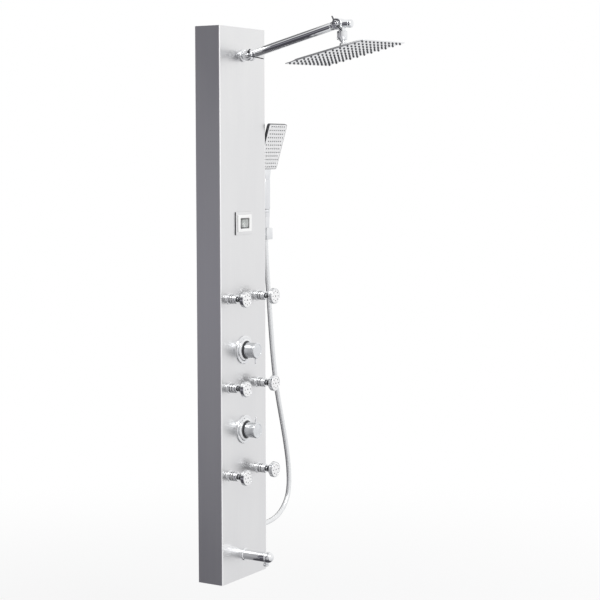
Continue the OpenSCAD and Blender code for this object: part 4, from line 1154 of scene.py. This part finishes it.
class SHOWER_OT_hand_shower(bpy.types.Operator):
    """Makes the hand shower: grip, paddle, spray face, nozzles and cone nut"""

    bl_idname = "shower.hand_shower"
    bl_label = "Hand shower"

    def execute(self, context):
        skin = shine("abs_chrome")
        body = Form()
        rings = []
        low = GRIP_LOW_Z + 7.2
        for z, w, t in (
            (low, 24.5, 16.5), (low + 0.6, 26.4, 18.4), (low + 1.8, 27.6, 19.6), (low + 4, 28, 20),
            (1060, 28, 20), (1092, 28, 20),
        ):
            rings.append(body.ring(GRIP, [(x, y, z) for x, y in round_corners(w, t, 8, 6)]))
        for rise, w, back, front in (
            (-26, 29.5, 9.8, -9.0), (-18, 33, 9.6, -7.0), (-10, 38, 9.4, -4.0), (-2, 43, 9.3, 0.4),
            (8, 42, 9.6, 3.0), (20, 34, 9.7, 5.0), (32, 22, 9.4, 7.0),
        ):
            loop = round_corners(w, back - front, min(7.5, (back - front) * 0.45), 6)
            mid = (back + front) / 2
            rings.append(body.ring(SPRAY, [(x, y + mid, rise) for x, y in loop]))
        body.skin(rings)
        outline = [
            (0, -11.9), (8, -11.9), (8, 0.02, 0.05), (12, 0.02), (12, 6.2, 0.5), (11, 7.4),
            (0, 7.4),
        ]
        body.turned(GRIP @ shift(0, 0, GRIP_LOW_Z), outline, 0.4)
        plate = SPRAY @ shift(0, 0, SPRAY_L / 2) @ turn("X", 90)
        shell, rings = Form(), []
        for inset, y in (
            (1.7, -1.6), (1.6, -0.2), (1.15, 0.0), (0.5, -0.2), (0.12, -0.7), (0, -1.4), (0, -6.4),
            (0.3, -7.6), (1.1, -8.7), (2.4, -9.5), (4.5, -9.95), (9, -10.0),
        ):
            loop = round_corners(SPRAY_W - 2 * inset, SPRAY_L - 2 * inset, 7 - min(inset, 2), 6)
            rings.append(shell.ring(plate, [(x, z, y) for x, z in loop]))
        shell.skin(rings)
        piece("hand_body", body, skin, "handset", ["handset_body"], 30)
        # Rim round the spray face in darker chrome: painted dark reflection
        piece("hand_shell", shell, shine("dark_reflection"), "handset", sharp=30)

        face = Form().slab(plate, SPRAY_W - 3.5, SPRAY_L - 3.5, -2.0, -0.05, 5.3, 0.5)
        piece("hand_face", face, shine("pale"), "handset", ["handset_face"])

        tips = Form()
        outline = [
            (0, -0.06), (1.9, -0.06), (1.9, 0.25, 0.15), (1.55, 0.4, 0.1), (1.1, 1.6, 0.3),
            (0.5, 1.6, 0.1), (0.4, 1.1, 0.1), (0, 1.1),
        ]
        for j in range(12):
            for i in range(8 - j % 2):
                x = (i - (7 - j % 2) / 2) * SPRAY_PITCH
                z = SPRAY_L / 2 + (j - 5.5) * SPRAY_PITCH
                tips.turned(SPRAY @ shift(x, 0, z) @ turn("X", 90), outline, 0.1, steps=14)
        piece(
            "hand_nozzle_tips", tips, shine("silicone"), "handset", ["handset_nozzles"],
            50,
        )

        outline = [
            (0, 0.02), (8.2, 0.02), (9, 0.9, 0.5), (9.35, 5, 0.2), (8.9, 5.5, 0.2),
            (8.95, 6.4, 0.2), (9.5, 7.0, 0.2), (11.3, 60, 3), (11.35, 61, 0.2, 1),
            (11.95, 73.4, 0.2, 1), (11.2, 74.95), (8.1, 74.95), (8.1, 62.6), (0, 62.6),
        ]
        place = GRIP @ shift(0, 0, HOSE_END[1])
        cone = Form().turned(place, outline, 0.4, steps=180, flutes=36, deep=0.35)
        piece("hand_cone_nut", cone, shine("chrome"), "handset", ["hose_nut_top"], 40)
        return {"FINISHED"}


class SHOWER_OT_holder(bpy.types.Operator):
    """Makes the hand shower's holder with its tapered seat and the slot for the hose"""

    bl_idname = "shower.holder"
    bl_label = "Holder"

    def execute(self, context):
        form = Form()
        side = at_side(HAND_OUT, HOLDER_Z)
        form.slab(side, 34, 34, 0.02, 4, 3, 0.9)
        form.slab(side, 18, 24, 3.0, 38.2, 3, 0.5)
        block = GRIP @ shift(0, 0, HOLDER_Z)
        half, slot, width = 16.0, 8.0, 30.0
        rings = []
        for z, inset in (
            (-half, 0.9), (-half + 0.12, 0.45), (-half + 0.45, 0.12), (-half + 0.9, 0),
            (half - 0.9, 0), (half - 0.45, 0.12), (half - 0.12, 0.45), (half, 0.9),
        ):
            bore = (24 - (60 - z) * 0.08) / 2 + 0.3 + inset * 0.6
            w = width - 2 * inset
            outer = round_corners(w, w, 3 - inset * 0.5, 5)
            right = [p for p in outer if p[0] > 0 and p[1] < 0]
            first = outer.index(right[-1]) + 1
            outer = reversed(outer[first:] + outer[:first])
            kept = [p for p in outer if abs(p[0]) >= slot or p[1] >= 0]
            lip = slot + inset * 0.3
            loop = [(x, y, z) for x, y in [(lip, -w / 2), *kept, (-lip, -w / 2)]]
            mouth = math.asin(lip / bore)
            for k in range(33):
                a = -math.pi / 2 - mouth - (2 * math.pi - 2 * mouth) * k / 32
                loop.append(polar(bore, a, z))
            rings.append(form.ring(block, loop))
        form.skin(rings)
        piece("hand_holder", form, shine("chrome"), "panel", ["holder"], 30)
        dress(shine("screws"), "holder_screws")
        return {"FINISHED"}


# Behind the front

PIPE_D, PIPE_Y, VALVE_L, BOSS_L = 12.0, -38.0, 120.0, 24.0
TAIL_L, PORT_OFF, SIDE_X, NIPPLE_X = 18.0, 12.0, 84.0, 38.0


def union_nut(form, place, across, low, high, bore):
    """Hexagon nut with turned-off corners and a bore."""
    rings = []
    for z, r in (
        (low, across * 0.5), (low + 0.9, across * 0.57), (high - 0.9, across * 0.57),
        (high, across * 0.5),
    ):
        loop = []
        for a in around(48):
            flat = (across / 2) / math.cos((a + math.pi / 6) % (math.pi / 3) - math.pi / 6)
            loop.append(polar(min(flat, r), a, z))
        rings.append(form.ring(place, loop))
    for z in (high, low):
        rings.append(form.ring(place, [polar(bore, a, z) for a in around(48)]))
    form.skin(rings, closed=True)


class SHOWER_OT_back(bpy.types.Operator):
    """Makes what shows from behind: nuts, inlets, water pipes with their unions, and the outlet"""

    bl_idname = "shower.back"
    bl_label = "Back fittings"

    def execute(self, context):
        yellow = shine("brass")
        nuts = Form()
        for place in (at_front(0, ARM_Z), at_front(0, SPOUT_Z), at_side(HAND_OUT, OUTLET_Z)):
            union_nut(nuts, place, 27, -8.2, -1.2, 10.3)
        piece("tail_nuts", nuts, yellow, "panel", ["backnuts"], 30)
        nuts = Form()
        for number in range(1, 7):
            union_nut(nuts, at_jet(number), 27, -7.2, -1.2, 9.0)
        piece("jet_nuts", nuts, yellow, "panel", ["jet_backnuts"], 30)

        inlets = Form()
        for side in (-1, 1):
            place = shift(side * NIPPLE_X, PIPE_Y, BASE_Z + MIXER_Z - BOSS_L) @ turn("X", 180)
            inlets.thread(place, 10.3, -0.2, 18)
        piece("inlet_threads", inlets, yellow, "panel", ["inlet_nipples"], 50)

        outlet = Form()
        place = at_side(HAND_OUT, OUTLET_Z)
        outline = [(0, 0.02), (17, 0.02), (17, 4.8, 1.4), (13.4, 8, 1.2), (0, 8)]
        outlet.turned(place, outline, 0.5)
        outlet.thread(place, 10.25, -TAIL_L, 0.2)
        outlet.thread(place, 10.25, 7.8, 18)
        piece("hose_elbow_rose", outlet, shine("chrome"), "panel", ["hose_outlet"], 40)

        white = shine("pex")
        riser = Form()
        runs = [
            [(0, PIPE_Y, BASE_Z + MIXER_Z + BOSS_L), (0, PIPE_Y, BASE_Z + DIVERTER_Z - BOSS_L)],
            [
                (0, PIPE_Y, BASE_Z + DIVERTER_Z + BOSS_L), (0, PIPE_Y, BASE_Z + ARM_Z),
                (0, -PANEL_D + TAIL_L, BASE_Z + ARM_Z),
            ],
        ]
        for run in runs:
            riser.pipe(bent_route(run, 16), PIPE_D / 2)
        piece("riser_line", riser, white, "panel", ["riser_pipe"])

        manifold = Form()
        y = -PANEL_D + 22 + PIPE_D / 2
        top = JET_Z + 2 * JET_PITCH
        for side in (-1, 1):
            x = side * JET_SPAN / 2
            manifold.pipe([(x, y, BASE_Z + JET_Z), (x, y, BASE_Z + top)], PIPE_D / 2)
            manifold.pipe(
                [(side * VALVE_L / 2, y, BASE_Z + DIVERTER_Z), (x, y, BASE_Z + DIVERTER_Z)],
                PIPE_D / 2,
            )
            for row in range(3):
                z = BASE_Z + JET_Z + row * JET_PITCH
                manifold.pipe([(x, y, z), (x, -PANEL_D + 22, z)], 8)
        piece("manifold_lines", manifold, white, "panel", ["jet_manifold"])

        outlets = Form()
        y = PIPE_Y + PORT_OFF
        from_z, low_z, side_z = BASE_Z + DIVERTER_Z, BASE_Z + SPOUT_Z, BASE_Z + OUTLET_Z
        runs = [
            [
                (-VALVE_L / 2, y, from_z), (-SIDE_X, y, from_z), (-SIDE_X, y, low_z),
                (0, y, low_z), (0, -PANEL_D + TAIL_L, low_z),
            ],
            [
                (VALVE_L / 2, y, from_z), (SIDE_X, y, from_z), (SIDE_X, y, side_z),
                (SIDE_X, -HAND_OUT, side_z), (PANEL_W / 2 - TAIL_L, -HAND_OUT, side_z),
            ],
        ]
        for run in runs:
            outlets.pipe(bent_route(run, 14), PIPE_D / 2)
        piece("outlet_lines", outlets, white, "panel", ["outlet_pipes"])
        return {"FINISHED"}


class SHOWER_OT_sheet_metal(bpy.types.Operator):
    """Finishes the folded front panel, its rails and the wall brackets"""

    bl_idname = "shower.sheet_metal"
    bl_label = "Sheet metal"

    def execute(self, context):
        dress(shine("steel"), "front_panel")
        dress(shine("zinc"), "hanger_rails", "wall_brackets")
        return {"FINISHED"}


# Stage


def lamp(name, at, aim, size, power):
    """Soft area lamp that looks at a point."""
    light = bpy.data.lights.new(name, "AREA")
    light.shape = "RECTANGLE"
    light.size, light.size_y = size
    light.energy = power
    made = bpy.data.objects.new(name, light)
    made.location = at
    made.rotation_euler = (Vector(aim) - Vector(at)).to_track_quat("-Z", "Y").to_euler()
    bpy.context.scene.collection.objects.link(made)
    return made


def patch(tree, *shares):
    """Part of the room that a patch takes up: the product of its shares. A share is a number, or a
    soft edge with its direction and the places where it starts and is full."""
    product = None
    for share in shares:
        if isinstance(share, tuple):
            reach = dict(zip(("Value", "From Min", "From Max"), share))
            soft = node(tree, "MapRange", reach, interpolation_type="SMOOTHSTEP")
            share = soft.outputs["Result"]
        if product is None:
            product = share
        else:
            factors = {0: product, 1: share}
            product = node(tree, "Math", factors, operation="MULTIPLY").outputs["Value"]
    return product


def floor_finish(tint):
    """Plain floor that keeps the shadow near the part and fades to the white backdrop further out.
    Only the camera sees the fade."""
    plain = bpy.data.materials.new("plain_floor")
    plain.use_nodes = True
    tree = plain.node_tree
    shader = tree.nodes["Principled BSDF"]
    shader.inputs["Roughness"].default_value = 0.9
    shader.inputs["Base Color"].default_value = [*tint, 1.0]
    seen = node(tree, "LightPath").outputs["Is Camera Ray"]
    glow = node(tree, "Emission", {"Color": colour("#ffffff"), "Strength": 1.0})
    spot = node(tree, "TexCoord").outputs["Object"]
    far = node(tree, "VectorMath", {0: spot}, operation="LENGTH").outputs["Value"]
    reach = {"Value": far, "From Min": FADE[0], "From Max": FADE[1], "To Min": FADE_LEAST}
    share = node(tree, "MapRange", reach, interpolation_type="SMOOTHSTEP").outputs["Result"]
    own = shader.outputs[0]
    dim = node(tree, "MixShader", {"Fac": share, 1: own, 2: glow.outputs[0]}).outputs[0]
    surface = tree.nodes["Material Output"].inputs["Surface"]
    node(tree, "MixShader", {"Fac": seen, 1: own, 2: dim}, surface)
    return plain


def surroundings():
    """The room that glossy finishes mirror: bright to the right and above, dark to the left and
    below, with one pale strip at the left and a dark wall behind the part. What isn't glossy gets
    plain light, and the camera sees white."""
    world = bpy.data.worlds.new("studio")
    world.use_nodes = True
    tree = world.node_tree
    sky = tree.nodes["Background"]
    way = node(tree, "TexCoord").outputs["Generated"]
    x, y, z = node(tree, "SeparateXYZ", {"Vector": way}).outputs

    # Bright to the right, above and in front, and one pale strip at the left
    slant = node(tree, "Math", {0: z, 1: 0.9, 2: x}, operation="MULTIPLY_ADD").outputs["Value"]
    off = node(tree, "Math", {0: y, 1: -0.06}, operation="SUBTRACT").outputs["Value"]
    off = node(tree, "Math", {0: off}, operation="ABSOLUTE").outputs["Value"]
    lit = patch(tree, (slant, -0.35, 0.05))
    strip = patch(tree, (off, 0.308, 0.132), 0.75, (x, -0.7, -0.88))
    for other in (patch(tree, (y, -0.42, -0.62)), strip):
        lit = node(tree, "Math", {0: lit, 1: other}, operation="MAXIMUM").outputs["Value"]
    reach = {"Value": z, "From Min": -1.0, "From Max": 1.0}
    height = {"Fac": node(tree, "MapRange", reach).outputs["Result"]}
    dark = node(tree, "ValToRGB", height, stops=DARK_SIDE).outputs["Color"]
    bright = node(tree, "ValToRGB", height, stops=BRIGHT_SIDE).outputs["Color"]
    sides = {"Factor": lit, "A": dark, "B": bright}
    room = node(tree, "Mix", sides, data_type="RGBA", clamp_factor=False).outputs["Result"]
    # Dark wall behind the part
    level = node(tree, "Math", {0: z}, operation="ABSOLUTE").outputs["Value"]
    rightward = (x, -0.5, -0.2)
    walls = {
        0: patch(tree, (y, 0.46, 0.58), rightward, (level, 0.6, 0.42)),
        1: patch(tree, (y, 0.57, 0.65), rightward, 0.8),
    }
    wall = node(tree, "Math", walls, operation="MAXIMUM").outputs["Value"]
    sides = {"Factor": wall, "A": room, "B": colour("#303033")}
    room = node(tree, "Mix", sides, data_type="RGBA").outputs["Result"]
    sky.inputs["Strength"].default_value = ROOM_LEVEL
    tree.links.new(room, sky.inputs["Color"])

    path = node(tree, "LightPath").outputs
    white = colour("#ffffff")
    plain = node(tree, "Background", {"Color": white, "Strength": PLAIN_LEVEL})
    backdrop = node(tree, "Background", {"Color": white, "Strength": 1.0})
    shaders = {"Fac": path["Is Glossy Ray"], 1: plain.outputs[0], 2: sky.outputs[0]}
    mirrored = node(tree, "MixShader", shaders).outputs[0]
    rays = {0: path["Is Camera Ray"], 1: path["Is Transmission Ray"]}
    direct = node(tree, "Math", rays, operation="MAXIMUM").outputs["Value"]
    shaders = {"Fac": direct, 1: mirrored, 2: backdrop.outputs[0]}
    node(tree, "MixShader", shaders, tree.nodes["World Output"].inputs["Surface"])
    return world


DARK_SIDE = [
    (0.0, "#48474c"), (0.37, "#4f4e54"), (0.46, "#a5a4ac"), (0.54, "#55545a"), (0.7, "#646369"),
]
BRIGHT_SIDE = [(0.0, "#c8c8ca"), (0.36, "#e9e9ea"), (0.46, "#f0f0f1"), (0.54, "#fafafa")]
ROOM_LEVEL, PLAIN_LEVEL = 1.12, 0.72
FLOOR_HALF, FADE, FADE_LEAST = 9.0, (1.3, 3.6), 0.72


class SHOWER_OT_stage(bpy.types.Operator):
    """Sets the plain floor, the pale surroundings and the soft studio lamps"""

    bl_idname = "shower.stage"
    bl_label = "Stage"

    def execute(self, context):
        own = context.scene.shower_stage
        scene = context.scene
        scene.view_settings.view_transform = "Standard"
        level = BASE_Z / M - own.floor_below
        mesh = bpy.data.meshes.new("floor")
        r = FLOOR_HALF
        corners = [(-r, -r, level), (r, -r, level), (r, r, level), (-r, r, level)]
        mesh.from_pydata(corners, [], [(0, 1, 2, 3)])
        mesh.materials.append(floor_finish(own.floor_colour))
        floor = bpy.data.objects.new("floor", mesh)
        scene.collection.objects.link(floor)
        floor.visible_glossy = False
        scene.world = surroundings()
        lamp("softbox_key", (-1.6, -3.2, 2.2), (0, 0, -0.5), (1.6, 1.6), 50)
        fill = lamp("softbox_fill", (2.8, -2.8, 0.6), (0, 0, -0.6), (1.8, 2.4), 24)
        fill.visible_glossy = False
        return {"FINISHED"}


STEPS = (
    SHOWER_OT_camera, SHOWER_OT_hose, SHOWER_OT_sheet_metal, SHOWER_OT_arm, SHOWER_OT_rain_head,
    SHOWER_OT_display, SHOWER_OT_knobs, SHOWER_OT_jets, SHOWER_OT_spout, SHOWER_OT_holder,
    SHOWER_OT_hand_shower, SHOWER_OT_back, SHOWER_OT_stage,
)


class SHOWER_PT_column(bpy.types.Panel):
    """Lists the sizes and the steps of the shower panel"""

    bl_idname = "SHOWER_PT_column"
    bl_label = "Shower panel"
    bl_space_type = "VIEW_3D"
    bl_region_type = "UI"
    bl_category = "Shower panel"

    def draw(self, context):
        for key, group in SETTINGS.items():
            box = self.layout.box()
            for prop in group.__annotations__:
                box.prop(getattr(context.scene, key), prop)
        for step in STEPS:
            self.layout.operator(step.bl_idname)


CLASSES = (*SETTINGS.values(), *STEPS, SHOWER_PT_column)


def register():
    for kind in CLASSES:
        bpy.utils.register_class(kind)
    for key, group in SETTINGS.items():
        setattr(bpy.types.Scene, key, bpy.props.PointerProperty(type=group))


def unregister():
    for key in SETTINGS:
        delattr(bpy.types.Scene, key)
    for kind in reversed(CLASSES):
        bpy.utils.unregister_class(kind)


def main():
    register()
    for step in STEPS:
        group, name = step.bl_idname.split(".")
        getattr(getattr(bpy.ops, group), name)()


if __name__ == "__main__":
    main()
